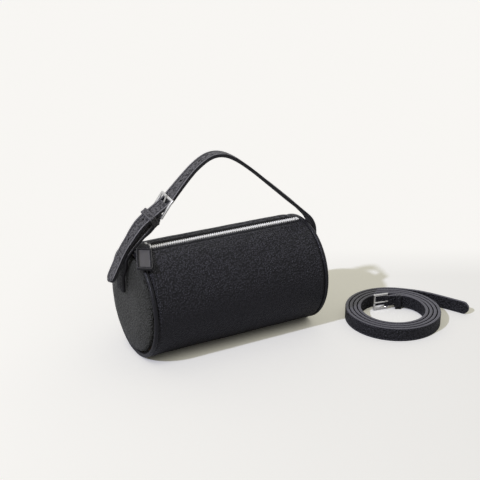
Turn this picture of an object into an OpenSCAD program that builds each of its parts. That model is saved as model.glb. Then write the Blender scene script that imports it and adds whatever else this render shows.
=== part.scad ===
// Barrel bag in pebbled leather, with a buckled top handle and a loose shoulder strap coiled beside it.
// X runs along the barrel from the buckle end to the plain end, Y to the back, Z up.
// The origin is on the floor, under the middle of the barrel.

/* [Barrel] */
// Length of the leather wrap between its two end seams
body_l = 200; // [176:4:232]
// Outer diameter of the barrel
body_d = 120; // [108:2:132]
// Width of the flat that the barrel rests on
flat_w = 28; // [18:1:36]
// Thickness of the outer leather
leather_t = 1.8; // [1.4:0.1:2.2]
// Thickness of the stiffening board
board_t = 1.2; // [0.8:0.1:1.6]
// Thickness of the cloth lining
lining_t = 0.6; // [0.4:0.1:0.9]

/* [End panels] */
// How far an end panel swells out from its seam
dome_h = 11; // [9:0.5:13]
// Radius of the roll round the edge of an end panel
roll_r = 8.5; // [6:0.5:8.5]
// Diameter of the piping round each end
piping_d = 4.8; // [4:0.2:5.6]
// Diameter of the cord inside the piping
cord_d = 2.4; // [1.6:0.2:2.8]
// How far the piping stands out from the wrap
piping_proud = 0.4; // [0.2:0.1:0.8]

/* [Zip] */
// Width of the gap in the wrap that the zip fills
slot_w = 8; // [7.4:0.2:10]
// Distance of the zip and the handle in front of the barrel's top
line_shift = 3; // [0:0.5:5]
// Width of one zip tape
tape_w = 12; // [9:0.5:14]
// Thickness of the zip tapes
tape_t = 0.6; // [0.4:0.1:0.8]
// Distance from one tooth to the next
tooth_pitch = 2.5; // [2:0.1:3.2]
// Width of one tooth along the zip
tooth_w = 1.3; // [0.9:0.1:1.5]
// Height of the teeth above the tape
tooth_h = 1.7; // [1.2:0.1:1.8]
// Reach of a row of teeth from its outer edge to the middle gap
tooth_reach = 2; // [1.4:0.1:2]
// Length of the slider
slider_l = 11; // [9:0.5:13]
// Distance of the slider from the end seam when the zip is shut
slider_in = 12; // [12:1:28]

/* [Zip pull] */
// Width of the leather pull
pull_w = 17; // [13:0.5:18]
// Length of the leather pull below its link
pull_l = 33; // [24:1:34]
// Thickness of the leather pull
pull_t = 3; // [2.4:0.2:3.4]
// Angle that the pull hangs away from the slider's own line
pull_slant = 21; // [0:1:24]
// Diameter of the link's wire
link_d = 1.6; // [1.2:0.1:1.8]
// Length of the link between its two bars
link_l = 7; // [5:0.5:9]

/* [Handle] */
// Width of the handle strap
strap_w = 15; // [12:0.5:16]
// Thickness of the handle strap
strap_t = 3.8; // [3:0.2:4]
// Height of the handle's peak above the barrel
handle_rise = 89; // [80:1:110]
// Length of the slots punched in the strap
hole_l = 4.6; // [4.4:0.1:5.4]
// Width of the slots punched in the strap
hole_w = 2.6; // [2.4:0.1:3.4]
// Thickness of the keeper's leather
keeper_t = 1.5; // [1:0.1:1.8]
// Length of the keeper along the strap
keeper_l = 7; // [5:0.5:7]

/* [Buckles] */
// Diameter of the buckle wire
wire_d = 1.8; // [1.4:0.1:2]
// Diameter of the prongs
prong_d = 1.6; // [1.2:0.1:1.8]
// Width of a prong's ring along its bar
ring_w = 2.4; // [1.6:0.1:3]
// Length of the shoulder strap's buckle between its bars
long_frame_l = 16; // [12:0.5:18]

/* [Shoulder strap] */
// Outer radius of the coil
coil_r = 57; // [54:1:66]
// Width of the shoulder strap, which is the height of the coil
long_w = 15; // [12:0.5:18]
// Thickness of the shoulder strap
long_t = 3.8; // [2.8:0.2:4]
// Gap between two turns of the coil
turn_gap = 0.9; // [0.6:0.1:1.2]
// Distance of the coil's centre to the right of the bag's middle
coil_x = 187.4; // [186:1:210]
// Distance of the coil's centre in front of the bag's middle
coil_y = 72.9; // [60:1:90]

/* [Hidden] */

round_fn = 96;
small_fn = 32;
// Overrun of every cut past the face that it goes through
over = 1;
// Gap between soft pieces that rest on each other
seat = 0.3;
// Running clearance between a pin and its bore
run = 0.08;

leather_col = "#232326";
edge_col = "#17171a";
lining_col = "#3b3a38";
board_col = "#8a7452";
foam_col = "#9a9a94";
metal_col = "#c9c9c6";

// Barrel
body_r = body_d / 2;
half_l = body_l / 2;
axis_h = sqrt(body_r * body_r - flat_w * flat_w / 4);
top_z = axis_h + body_r;
line_y = -line_shift;
stiff_in = leather_t + board_t;
lining_in = stiff_in + lining_t;
slot_cut = tape_w + seat;

// Ends
pipe_r = piping_d / 2;
pipe_ring = body_r + piping_proud - pipe_r;
skirt_r = pipe_ring - pipe_r - seat;
face_x = half_l + dome_h;

// Zip
row_gap = 0.7;
tape_r = body_r - leather_t - run;
comb_z = axis_h + tape_r + run;
rail_w = 0.6;
row_out = row_gap + tooth_reach;
slider_x = half_l - slider_in;
stop_l = 2.6;
teeth_end = half_l - 2 * stop_l;
plate_t = 1.2;
plate_z = axis_h + body_r + seat;
flange_t = 0.6;
flange_in = row_out + seat;
web_t = 0.7;
under_z = axis_h + sqrt(pow(tape_r - tape_t, 2) - pow(line_shift + flange_in + flange_t, 2)) - seat;

// Zip pull
link_r = link_d / 2;
lug_play = 0.6;
lug_hole_r = link_r + lug_play;
lug_wall = 0.9;
lug_l = 2;
hinge_z = plate_z + plate_t + lug_hole_r + lug_wall;
link_half = 4.6;
neck_w = 2 * (link_half - link_r - seat);
neck_l = 5;
corner_r = 2.5;
rest_r = body_r + piping_proud + pull_t / 2 + seat;
hinge_r = norm([line_shift, hinge_z - axis_h]);
pull_dip = asin(line_shift / hinge_r) + acos(rest_r / hinge_r);

// Handle
tab_x = face_x + seat + strap_t / 2;
pivot_share = 0.53;
tab_share = 0.27;
pivot_z = axis_h + pivot_share * body_r;
tab_len = tab_share * body_r;
wire_r = wire_d / 2;
prong_r = prong_d / 2;
knee_r = prong_r + run / 2;
eye_wall = 1.6;
eye_r = wire_r + run + eye_wall;
side_in = strap_w / 2 + seat;
steps = 4;

// Stations of the strap's middle line from the plain end over the top to the tail's tip:
// along X as shares of the end panel's distance, along Z as shares of the rise above the barrel
strap_shares = [
    [1.044, -0.338], [1.054, -0.226], [1.042, -0.11], [0.998, -0.004], [0.924, 0.092],
    [0.837, 0.195], [0.721, 0.322], [0.605, 0.45], [0.495, 0.569], [0.382, 0.693],
    [0.273, 0.805], [0.164, 0.906], [0.052, 0.981], [-0.054, 1.006], [-0.157, 0.978],
    [-0.272, 0.89], [-0.378, 0.772], [-0.487, 0.635], [-0.559, 0.544], [-0.622, 0.487],
    [-0.686, 0.437], [-0.763, 0.377], [-0.838, 0.308], [-0.9, 0.223], [-0.951, 0.134],
    [-1.002, 0.05], [-1.047, -0.042], [-1.089, -0.143], [-1.13, -0.24], [-1.17, -0.338]
];
outer_station = 20;
hole_station = 22;
// Places of the round holes, as shares of the strap's stations
hole_shares = [0.547, 0.602, 0.766, 0.844];
// Stations of the buckle strap from the buckle to the end panel, in the same shares
buckle_shares = [[-0.724, 0.317], [-0.787, 0.24], [-0.85, 0.165], [-0.912, 0.09], [-0.974, -0.003]];
// Heights of the stations at the end panels from the pivot, in lengths of a tab
right_foot_shares = [-2.1, -1.2, -0.65];
left_foot_shares = [1.25, 0.8, 0, -1];

// Unit vector, spline through stations, and the ribbon that a strap makes along its line
function unit(v) = v / norm(v);
function blend(a, b, c, d, t) =
    (2 * b + (c - a) * t + (2 * a - 5 * b + 4 * c - d) * t * t + (3 * b - a - 3 * c + d) * t * t * t) / 2;
function spline(p, m) = let (n = len(p) - 1) concat(
    [for (i = [0:n - 1]) for (j = [0:m - 1])
        blend(p[max(i - 1, 0)], p[i], p[i + 1], p[min(i + 2, n)], j / m)],
    [p[n]]);
function heading(p, i) = unit(p[min(i + 1, len(p) - 1)] - p[max(i - 1, 0)]);
function outward(p, i) = let (t = heading(p, i)) [t.y, -t.x];
function edge(p, offset) = [for (i = [0:len(p) - 1]) p[i] + offset * outward(p, i)];
function path_length(p, i = 1) = i >= len(p) ? 0 : norm(p[i] - p[i - 1]) + path_length(p, i + 1);
function reversed(p) = [for (i = [len(p) - 1:-1:0]) p[i]];
function ribbon(p, inside, outside) = concat(edge(p, outside), reversed(edge(p, inside)));

// Lines of the straps, in the plane of X and Z
strap_rest = [for (s = strap_shares) [s.x * face_x, top_z + s.y * handle_rise]];
strap_foot = [for (i = [0:2])
    [tab_x + (i < 2 ? 0 : strap_t / 2), pivot_z + right_foot_shares[i] * tab_len]];
strap_line = spline(concat(strap_foot, strap_rest), steps);
outer_i = (outer_station + 1) * steps;
hole_i = (hole_station + 1) * steps;
bar_out = strap_line[outer_i] + (strap_t / 2 + seat + wire_r) * outward(strap_line, outer_i);
bar_in = strap_line[hole_i] - (strap_t / 2 + seat + eye_r) * outward(strap_line, hole_i);
buckle_line = spline(concat(
    [bar_in],
    [for (s = buckle_shares) [s.x * face_x, top_z + s.y * handle_rise]],
    [for (s = left_foot_shares) [-tab_x, pivot_z + s * tab_len]]), steps);
frame_dir = unit(bar_out - bar_in);
frame_out = [-frame_dir.y, frame_dir.x];
keeper_tail = strap_line[hole_i + 3];
keeper_strap = buckle_line[4];
keeper_mid = (keeper_tail + keeper_strap) / 2;
keeper_dir = heading(strap_line, hole_i + 3);
keeper_in = norm(keeper_tail - keeper_strap) / 2 + strap_t / 2 + 3 * seat;
keeper_side = strap_w / 2 + seat;

// Shoulder strap: buckle end, spiral and tail, in plan round the coil's centre
turns = 3.8333;
turn_steps = 30;
start_a = -10;
turn_pitch = long_t + turn_gap;
coil_in = coil_r - long_t / 2 - turns * turn_pitch;
long_end_shares = [[0.26, 0.715], [0.5, 0.655], [0.735, 0.52], [0.91, 0.3], [0.985, 0.06]];
long_tail_shares = [
    [0.655, 0.715], [0.78, 0.6], [0.935, 0.44], [1.096, 0.202],
    [1.246, -0.088], [1.386, -0.377], [1.477, -0.57]
];
spiral = [for (i = [0:turns * turn_steps])
    let (a = start_a - 360 * i / turn_steps, r = coil_in + turn_pitch * i / turn_steps)
        r * [cos(a), sin(a)]];
last = len(spiral) - 1;
inner_run = spline(concat(long_end_shares * coil_in, [spiral[0], spiral[1]]), steps);
outer_run = spline(concat([spiral[last - 1], spiral[last]], long_tail_shares * coil_r), steps);
long_line = concat(
    [for (i = [0:len(inner_run) - 2 - steps]) inner_run[i]],
    [for (i = [0:last - 1]) spiral[i]],
    [for (i = [steps:len(outer_run) - 1]) outer_run[i]]);
long_bar = long_line[0];
long_dir = -heading(long_line, 1);
chape_w = long_w - wire_d - seat;
long_mid_z = long_w - chape_w / 2;
long_side = chape_w / 2 + seat;
near_count = 15;
long_gap = min([for (i = [0:len(long_line) - 1 - near_count]) for (j = [i + near_count:len(long_line) - 1])
    norm(long_line[i] - long_line[j])]) - long_t;
echo(least_gap_between_turns_mm = long_gap);
echo(shoulder_strap_length_mm = path_length(long_line));
echo(handle_strap_length_mm = path_length(strap_line));

// Solid round barrel, inset from the leather's outside, with its flat at the bottom
module drum(inset, half) {
    difference() {
        translate([-half, 0, axis_h]) rotate([0, 90, 0])
            cylinder(r = body_r - inset, h = 2 * half, $fn = round_fn);
        translate([-half - over, -body_r, -body_r])
            cube([2 * (half + over), body_d, body_r + inset]);
    }
}

// Box over the zip line, from the barrel's axis up
module zip_way(half_w, half) {
    translate([-half, line_y - half_w, axis_h]) cube([2 * half, 2 * half_w, body_d]);
}

// Layer of the barrel between two insets, open along the zip
module layer(outside, inside, half_w) {
    difference() {
        drum(outside, half_l);
        drum(inside, half_l + over);
        zip_way(half_w, half_l + over);
    }
}

module body_wrap() {
    color(leather_col) layer(0, leather_t, slot_w / 2);
}

module body_stiffener() {
    color(board_col) layer(leather_t, stiff_in, slot_cut);
}

module body_lining() {
    color(lining_col) layer(stiff_in, lining_in, slot_cut);
}

// Places children with their Z axis along the barrel, from an end seam outward
module at_end(side) {
    mirror([side < 0 ? 1 : 0, 0, 0]) translate([half_l, 0, axis_h]) rotate([0, 90, 0]) children();
}

// Swollen disc of an end panel, inset by a thickness
module dome(inset, low) {
    rotate_extrude($fn = round_fn) {
        translate([0, low]) square([skirt_r - roll_r, dome_h - inset - low]);
        translate([0, low]) square([skirt_r - inset, dome_h - roll_r - low]);
        intersection() {
            translate([skirt_r - roll_r, dome_h - roll_r]) circle(r = roll_r - inset, $fn = round_fn);
            translate([skirt_r - roll_r, dome_h - roll_r]) square([roll_r, roll_r]);
        }
    }
}

module end_panel(side) {
    color(leather_col) at_end(side) difference() {
        dome(0, 0);
        dome(leather_t, -over);
    }
}

module end_padding(side) {
    color(foam_col) at_end(side) dome(leather_t, board_t);
}

module end_board(side) {
    color(board_col) at_end(side) cylinder(r = skirt_r - leather_t, h = board_t, $fn = round_fn);
}

module end_lining(side) {
    color(lining_col) mirror([side < 0 ? 1 : 0, 0, 0]) intersection() {
        drum(lining_in, half_l);
        translate([half_l - lining_t, -body_r, 0]) cube([lining_t + over, body_d, body_d]);
    }
}

// Ring of round section at the seam, with its underside level with the floor or above it
module seam_ring(side, r, low) {
    difference() {
        at_end(side) translate([0, 0, pipe_r]) rotate_extrude($fn = round_fn)
            translate([pipe_ring, 0]) circle(r = r, $fn = small_fn);
        translate([-face_x, -body_r, low - body_r]) cube([2 * face_x, body_d, body_r]);
    }
}

module piping(side) {
    color(leather_col) difference() {
        seam_ring(side, pipe_r, 0);
        seam_ring(side, cord_d / 2, board_t);
    }
}

module piping_cord(side) {
    color(lining_col) seam_ring(side, cord_d / 2, board_t);
}

// Tape under one edge of the gap, curved with the wrap
module zip_tape(side) {
    color(edge_col) intersection() {
        difference() {
            drum(leather_t + run, half_l);
            drum(leather_t + run + tape_t, half_l + over);
        }
        translate([-half_l, side < 0 ? line_y - tape_w : line_y + row_gap, axis_h])
            cube([body_l, tape_w - row_gap, body_r]);
    }
}

// Row of teeth on a rail, with the teeth pointing at the middle of the zip
module zip_teeth(side) {
    count = floor(2 * teeth_end / tooth_pitch);
    first = -(count - 1) * tooth_pitch / 2;
    shift = side < 0 ? -tooth_pitch / 4 : tooth_pitch / 4;
    teeth = [for (i = [0:count - 1]) each [
        [first + i * tooth_pitch + shift - tooth_w / 2, row_out - rail_w],
        [first + i * tooth_pitch + shift - tooth_w / 2, row_gap],
        [first + i * tooth_pitch + shift + tooth_w / 2, row_gap],
        [first + i * tooth_pitch + shift + tooth_w / 2, row_out - rail_w]
    ]];
    rail = [[teeth_end, row_out - rail_w], [teeth_end, row_out],
            [-teeth_end, row_out], [-teeth_end, row_out - rail_w]];
    color(metal_col) translate([0, line_y, comb_z]) mirror([0, side < 0 ? 1 : 0, 0])
        linear_extrude(tooth_h) polygon(concat(teeth, rail));
}

module zip_bottom_stop() {
    color(metal_col) translate([teeth_end + seat, line_y - row_out, comb_z])
        cube([stop_l, 2 * row_out, tooth_h + seat]);
}

module zip_top_stops() {
    color(metal_col) for (side = [-1, 1])
        translate([-teeth_end - seat - stop_l, line_y + (side < 0 ? -row_out : row_gap), comb_z])
            cube([stop_l, tooth_reach, tooth_h + seat]);
}

// Slider with plates over and under the tapes, a web between the rows and a lug for the link
module zip_slider() {
    half_w = flange_in + flange_t;
    flange_z = comb_z + seat / 2;
    color(metal_col) translate([-slider_x, line_y, 0]) difference() {
        union() {
            translate([-slider_l / 2, -half_w, plate_z]) cube([slider_l, 2 * half_w, plate_t]);
            for (side = [-1, 1])
                translate([-slider_l / 2, side < 0 ? -half_w : flange_in, flange_z])
                    cube([slider_l, flange_t, plate_z - flange_z + plate_t / 2]);
            translate([-slider_l / 2, -web_t / 2, under_z - plate_t / 2])
                cube([slider_l / 4, web_t, plate_z - under_z + plate_t]);
            translate([-slider_l / 2, -half_w, under_z - plate_t]) cube([slider_l, 2 * half_w, plate_t]);
            translate([-lug_l / 2, 0, hinge_z]) rotate([0, 90, 0])
                cylinder(r = lug_hole_r + lug_wall, h = lug_l, $fn = small_fn);
            translate([-lug_l / 2, -lug_hole_r - lug_wall, plate_z + plate_t / 2])
                cube([lug_l, 2 * (lug_hole_r + lug_wall), hinge_z - plate_z - plate_t / 2]);
        }
        translate([-slider_l, 0, hinge_z]) rotate([0, 90, 0])
            cylinder(r = lug_hole_r, h = 2 * slider_l, $fn = small_fn);
    }
}

// Round rod between two points
module rod(a, b, r) {
    v = b - a;
    translate(a) rotate([0, acos(v.z / norm(v)), atan2(v.y, v.x)])
        cylinder(r = r, h = norm(v), $fn = small_fn);
}

// Places children at the link's upper bar: X along the bar, Y down the pull, Z away from the barrel
module at_pull() {
    translate([-slider_x, line_y, hinge_z]) rotate([pull_dip, 0, 0]) rotate([0, 0, -pull_slant])
        mirror([0, 1, 0]) children();
}

module pull_link() {
    color(metal_col) at_pull() {
        for (y = [0, link_l]) {
            rod([-link_half, y, 0], [link_half, y, 0], link_r);
            for (x = [-link_half, link_half]) translate([x, y, 0]) sphere(r = link_r, $fn = small_fn);
        }
        for (x = [-link_half, link_half]) rod([x, 0, 0], [x, link_l, 0], link_r);
    }
}

// Leather pull folded over the link's lower bar
module zip_pull() {
    half_t = pull_t / 2;
    shoulder = link_l + link_r + seat;
    color(leather_col) at_pull() difference() {
        union() {
            rod([-neck_w / 2, link_l, 0], [neck_w / 2, link_l, 0], half_t);
            translate([-neck_w / 2, link_l, -half_t]) cube([neck_w, neck_l, pull_t]);
            translate([0, shoulder, -half_t]) linear_extrude(pull_t) polygon([
                [-neck_w / 2, 0], [neck_w / 2, 0],
                [pull_w / 2, neck_l], [pull_w / 2, pull_l - corner_r],
                [-pull_w / 2, pull_l - corner_r], [-pull_w / 2, neck_l]]);
            translate([-pull_w / 2 + corner_r, shoulder + neck_l, -half_t])
                cube([pull_w - 2 * corner_r, pull_l - neck_l, pull_t]);
            for (x = [-1, 1]) translate([x * (pull_w / 2 - corner_r), shoulder + pull_l - corner_r, -half_t])
                cylinder(r = corner_r, h = pull_t, $fn = small_fn);
        }
        rod([-neck_w, link_l, 0], [neck_w, link_l, 0], link_r + run);
    }
}

// Strap of a given ribbon outline, standing across the line of the zip
module strap(line, inside, outside) {
    translate([0, line_y + strap_w / 2, 0]) rotate([90, 0, 0]) linear_extrude(strap_w)
        polygon(ribbon(line, inside, outside));
}

// Places children on a strap's line: X along it, Z outward
module on_line(line, i) {
    t = heading(line, i);
    translate([line[i].x, line_y, line[i].y]) rotate([0, -atan2(t.y, t.x), 0]) rotate([180, 0, 0])
        children();
}

// Space below the pivot at one end, which a round-ended strap keeps a radius into
module below_pivot(side, r) {
    x = side < 0 ? -face_x - 2 * strap_w : face_x - strap_w;
    difference() {
        translate([x, line_y - strap_w, 0]) cube([3 * strap_w, 2 * strap_w, pivot_z]);
        translate([x - over, line_y, pivot_z]) rotate([0, 90, 0])
            cylinder(r = r, h = 3 * strap_w + 2 * over, $fn = round_fn);
    }
}

// Round hole through a strap
module strap_hole() {
    translate([0, 0, -strap_t]) cylinder(r = hole_w / 2, h = 2 * strap_t, $fn = small_fn);
}

// Slot that the prong fills, the round holes, and the round cut of the tip
module strap_cuts() {
    on_line(strap_line, hole_i) translate([hole_l / 2 - prong_r - seat, 0, 0]) {
        for (x = [-1, 1]) translate([x * (hole_l - hole_w) / 2, 0, 0]) strap_hole();
        translate([(hole_w - hole_l) / 2, -hole_w / 2, -strap_t])
            cube([hole_l - hole_w, hole_w, 2 * strap_t]);
    }
    for (s = hole_shares) on_line(strap_line, round(s * (len(strap_line) - 1))) strap_hole();
    on_line(strap_line, len(strap_line) - 1) difference() {
        translate([-strap_w / 2, -strap_w, -strap_t]) cube([strap_w, 2 * strap_w, 2 * strap_t]);
        translate([-strap_w / 2, 0, -2 * strap_t])
            cylinder(r = strap_w / 2, h = 4 * strap_t, $fn = round_fn);
    }
}

module handle_strap() {
    color(leather_col) difference() {
        strap(strap_line, 0, strap_t / 2);
        strap_cuts();
        below_pivot(1, strap_w / 2);
    }
}

module handle_backing() {
    color(edge_col) difference() {
        strap(strap_line, -strap_t / 2, 0);
        strap_cuts();
        below_pivot(1, strap_w / 2);
    }
}

module right_handle_tab() {
    color(leather_col) intersection() {
        strap(strap_line, -strap_t / 2, strap_t / 2);
        below_pivot(1, strap_w / 2 + seat);
    }
}

module left_handle_tab() {
    color(leather_col) intersection() {
        strap(buckle_line, -strap_t / 2, strap_t / 2);
        below_pivot(-1, strap_w / 2 + seat);
    }
}

// Cylinder along Y round the buckle's inner bar
module round_bar(r, w) {
    translate([bar_in.x, line_y + w / 2, bar_in.y]) rotate([90, 0, 0])
        cylinder(r = r, h = w, $fn = small_fn);
}

module buckle_strap() {
    color(leather_col) difference() {
        union() {
            strap(buckle_line, -strap_t / 2, strap_t / 2);
            round_bar(eye_r, strap_w);
        }
        round_bar(wire_r + run, 2 * strap_w);
        round_bar(eye_r + seat, ring_w + 2 * seat);
        below_pivot(-1, strap_w / 2);
    }
}

// Rectangle of wire with its hinge bar on Z and its far bar at a length along X
module wire_frame(len, half_w) {
    for (x = [0, len]) {
        rod([x, 0, -half_w], [x, 0, half_w], wire_r);
        for (z = [-half_w, half_w]) translate([x, 0, z]) sphere(r = wire_r, $fn = small_fn);
    }
    for (z = [-half_w, half_w]) rod([0, 0, z], [len, 0, z], wire_r);
}

module handle_buckle() {
    color(metal_col) translate([bar_in.x, line_y, bar_in.y])
        rotate([0, -atan2(frame_dir.y, frame_dir.x), 0]) rotate([90, 0, 0])
            wire_frame(norm(bar_out - bar_in), side_in + wire_r);
}

// Prong that rises through the strap beside its bar and lies across the far bar
module handle_prong() {
    rise = strap_t + 2 * seat + eye_r + prong_r;
    knee = bar_in + rise * outward(strap_line, hole_i);
    tip = bar_out + (wire_r + prong_r + seat / 2) * frame_out + wire_d / 2 * frame_dir;
    color(metal_col) difference() {
        union() {
            round_bar(wire_r + run + prong_r, ring_w);
            rod([bar_in.x, line_y, bar_in.y], [knee.x, line_y, knee.y], prong_r);
            translate([knee.x, line_y, knee.y]) sphere(r = knee_r, $fn = small_fn);
            rod([knee.x, line_y, knee.y], [tip.x, line_y, tip.y], prong_r);
            translate([tip.x, line_y, tip.y]) sphere(r = prong_r, $fn = small_fn);
        }
        round_bar(wire_r + run, 2 * ring_w);
    }
}

// Loop round the tail and the buckle strap
module handle_keeper() {
    color(leather_col) translate([keeper_mid.x, line_y, keeper_mid.y])
        rotate([0, -atan2(keeper_dir.y, keeper_dir.x), 0]) difference() {
            translate([-keeper_l / 2, -keeper_side - keeper_t, -keeper_in - keeper_t])
                cube([keeper_l, 2 * (keeper_side + keeper_t), 2 * (keeper_in + keeper_t)]);
            translate([-keeper_l, -keeper_side, -keeper_in])
                cube([2 * keeper_l, 2 * keeper_side, 2 * keeper_in]);
        }
}

// Places children at the coil's centre
module at_coil() {
    translate([coil_x, -coil_y, 0]) children();
}

// Upright cylinder round the shoulder buckle's bar
module long_round(r, w) {
    translate([long_bar.x, long_bar.y, long_mid_z - w / 2]) cylinder(r = r, h = w, $fn = small_fn);
}

module long_band() {
    linear_extrude(long_w) polygon(ribbon(long_line, -long_t / 2, long_t / 2));
}

// Two eyes that the strap's folded end makes round the buckle's bar, with room for the prong between them
module long_strap_eyes() {
    color(leather_col) at_coil() difference() {
        union() {
            intersection() {
                long_band();
                long_round(eye_r + seat, chape_w);
            }
            long_round(eye_r, chape_w);
        }
        long_round(wire_r + run, 2 * long_w);
        long_round(eye_r + 2 * seat, ring_w + 2 * seat);
    }
}

module long_strap() {
    n = len(long_line) - 1;
    t = heading(long_line, n);
    color(leather_col) at_coil() difference() {
        long_band();
        long_round(eye_r + seat, 2 * long_w);
        translate([long_line[n].x, long_line[n].y, long_w / 2]) rotate([0, 0, atan2(t.y, t.x)])
            rotate([90, 0, 0]) difference() {
                translate([-long_w / 2, -long_w, -long_t]) cube([long_w, 2 * long_w, 2 * long_t]);
                translate([-long_w / 2, 0, -2 * long_t])
                    cylinder(r = long_w / 2, h = 4 * long_t, $fn = round_fn);
            }
    }
}

module long_strap_keeper() {
    k = steps + 2;
    t = heading(long_line, k);
    in = long_t / 2 + 2 * seat;
    color(leather_col) at_coil() translate([long_line[k].x, long_line[k].y, 0])
        rotate([0, 0, atan2(t.y, t.x)]) difference() {
            translate([-keeper_l / 2, -in - keeper_t, 0])
                cube([keeper_l, 2 * (in + keeper_t), long_w + seat + keeper_t]);
            translate([-keeper_l, -in, -over]) cube([2 * keeper_l, 2 * in, long_w + seat + over]);
        }
}

// Places children at the shoulder buckle's bar, X along the frame
module at_long_buckle() {
    at_coil() translate([long_bar.x, long_bar.y, long_mid_z]) rotate([0, 0, atan2(long_dir.y, long_dir.x)])
        children();
}

module long_strap_buckle() {
    color(metal_col) at_long_buckle() wire_frame(long_frame_l, long_side + wire_r);
}

module long_strap_prong() {
    lift = wire_r + prong_r + seat / 2;
    knee = [wire_d + prong_d, lift + run, 0];
    tip = [long_frame_l + wire_r, lift, 0];
    color(metal_col) at_long_buckle() difference() {
        union() {
            translate([0, 0, -ring_w / 2]) cylinder(r = wire_r + run + prong_r, h = ring_w, $fn = small_fn);
            rod([0, 0, 0], knee, prong_r);
            translate(knee) rotate([90, 0, 0]) sphere(r = knee_r, $fn = small_fn);
            rod(knee, tip, prong_r);
            translate(tip) rotate([90, 0, 0]) sphere(r = prong_r, $fn = small_fn);
        }
        translate([0, 0, -ring_w]) cylinder(r = wire_r + run, h = 2 * ring_w, $fn = small_fn);
    }
}

body_wrap();
body_stiffener();
body_lining();
end_panel(-1);  // left_end_panel
end_panel(1);  // right_end_panel
end_padding(-1);  // left_end_padding
end_padding(1);  // right_end_padding
end_board(-1);  // left_end_board
end_board(1);  // right_end_board
end_lining(-1);  // left_end_lining
end_lining(1);  // right_end_lining
piping(-1);  // left_piping
piping(1);  // right_piping
piping_cord(-1);  // left_piping_cord
piping_cord(1);  // right_piping_cord
zip_tape(-1);  // front_zip_tape
zip_tape(1);  // rear_zip_tape
zip_teeth(-1);  // front_zip_teeth
zip_teeth(1);  // rear_zip_teeth
zip_bottom_stop();
zip_top_stops();
zip_slider();
pull_link();
zip_pull();
left_handle_tab();
right_handle_tab();
buckle_strap();
handle_strap();
handle_backing();
handle_keeper();
handle_buckle();
handle_prong();
long_strap();
long_strap_eyes();
long_strap_keeper();
long_strap_buckle();
long_strap_prong();
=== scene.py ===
import math

import bpy
from bpy.props import FloatProperty, FloatVectorProperty, PointerProperty
from bpy.types import Operator, Panel, PropertyGroup
from mathutils import Matrix, Vector


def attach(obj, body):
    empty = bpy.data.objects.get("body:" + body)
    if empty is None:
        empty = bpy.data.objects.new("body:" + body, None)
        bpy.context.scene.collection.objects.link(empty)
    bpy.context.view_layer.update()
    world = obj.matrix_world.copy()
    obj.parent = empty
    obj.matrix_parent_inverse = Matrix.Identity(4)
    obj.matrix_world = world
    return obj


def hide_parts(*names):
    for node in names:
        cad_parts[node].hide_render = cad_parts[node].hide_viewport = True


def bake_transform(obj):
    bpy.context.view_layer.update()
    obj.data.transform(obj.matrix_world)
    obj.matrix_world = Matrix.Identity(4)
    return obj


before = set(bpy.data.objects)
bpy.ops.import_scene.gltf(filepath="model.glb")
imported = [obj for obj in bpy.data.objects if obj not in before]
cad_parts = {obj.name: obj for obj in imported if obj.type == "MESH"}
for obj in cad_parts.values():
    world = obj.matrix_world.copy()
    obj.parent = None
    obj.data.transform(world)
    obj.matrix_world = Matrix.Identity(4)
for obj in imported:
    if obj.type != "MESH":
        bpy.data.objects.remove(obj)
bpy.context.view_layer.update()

bl_info = {
    "name": "Barrel Bag",
    "version": (1, 0, 0),
    "blender": (4, 5, 0),
    "location": "View3D > Sidebar > Barrel Bag",
    "description": "Models a small pebbled leather barrel bag with its handle and shoulder strap",
    "category": "Object",
}

MM = 0.001
QUARTER = math.pi / 2

# Stations of the handle's middle line, from the plain end over the top to the tail's tip:
# shares of the end panel's distance along X, and of the rise above the barrel along Z
HANDLE_SHARES = [
    (1.044, -0.338), (1.054, -0.226), (1.042, -0.11), (0.998, -0.004), (0.924, 0.092),
    (0.837, 0.195), (0.721, 0.322), (0.605, 0.45), (0.495, 0.569), (0.382, 0.693),
    (0.273, 0.805), (0.164, 0.906), (0.052, 0.981), (-0.054, 1.006), (-0.157, 0.978),
    (-0.272, 0.89), (-0.378, 0.772), (-0.487, 0.635), (-0.559, 0.544), (-0.622, 0.487),
    (-0.686, 0.437), (-0.763, 0.377), (-0.838, 0.308), (-0.9, 0.223), (-0.951, 0.134),
    (-1.002, 0.05), (-1.047, -0.042), (-1.089, -0.143), (-1.13, -0.24), (-1.17, -0.338),
]
BUCKLE_SHARES = [(-0.724, 0.317), (-0.787, 0.24), (-0.85, 0.165), (-0.912, 0.09), (-0.974, -0.003)]
# Heights of the lowest stations from the handle's pivot, in lengths of a tab
RIGHT_FOOT_SHARES = [-2.1, -1.2, -0.65]
LEFT_FOOT_SHARES = [1.25, 0.8, 0, -1]
# Station of the buckle's far bar, of its hinge bar, of the prong's slot, and of the punched holes
FAR_STATION = 21
PRONG_STATION = 23
SLOT_STATION = 21.35
PUNCHED_STATIONS = (17.5, 19.25, 24.5, 27)
# Twist of the handle at some of its stations, in degrees, with the far edge outward
HANDLE_TWISTS = [(0, 0), (5, 0), (9, 9), (13, 4), (16, 0), (18, 2), (21.5, 19), (24, 18), (28, 4), (33, 1)]
BUCKLE_TWIST = -20
# Way to the key light, and the camera's right and ahead along the floor
KEY_FROM = (-1.2, -0.32, 1.0)
VIEW_RIGHT = (0.8786, -0.4775, 0.0)
VIEW_AHEAD = (0.4775, 0.8786, 0.0)
# Camera fitted to the photograph's view
CAMERA_PLACE = (-0.4289, -0.8358, 0.4845)
CAMERA_RIGHT = (0.87864, -0.47748, -0.00051)
CAMERA_UP = (0.17763, 0.32587, 0.92858)
CAMERA_AHEAD = (0.44321, 0.81598, -0.37114)
CAMERA_LENS = 69.62
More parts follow.
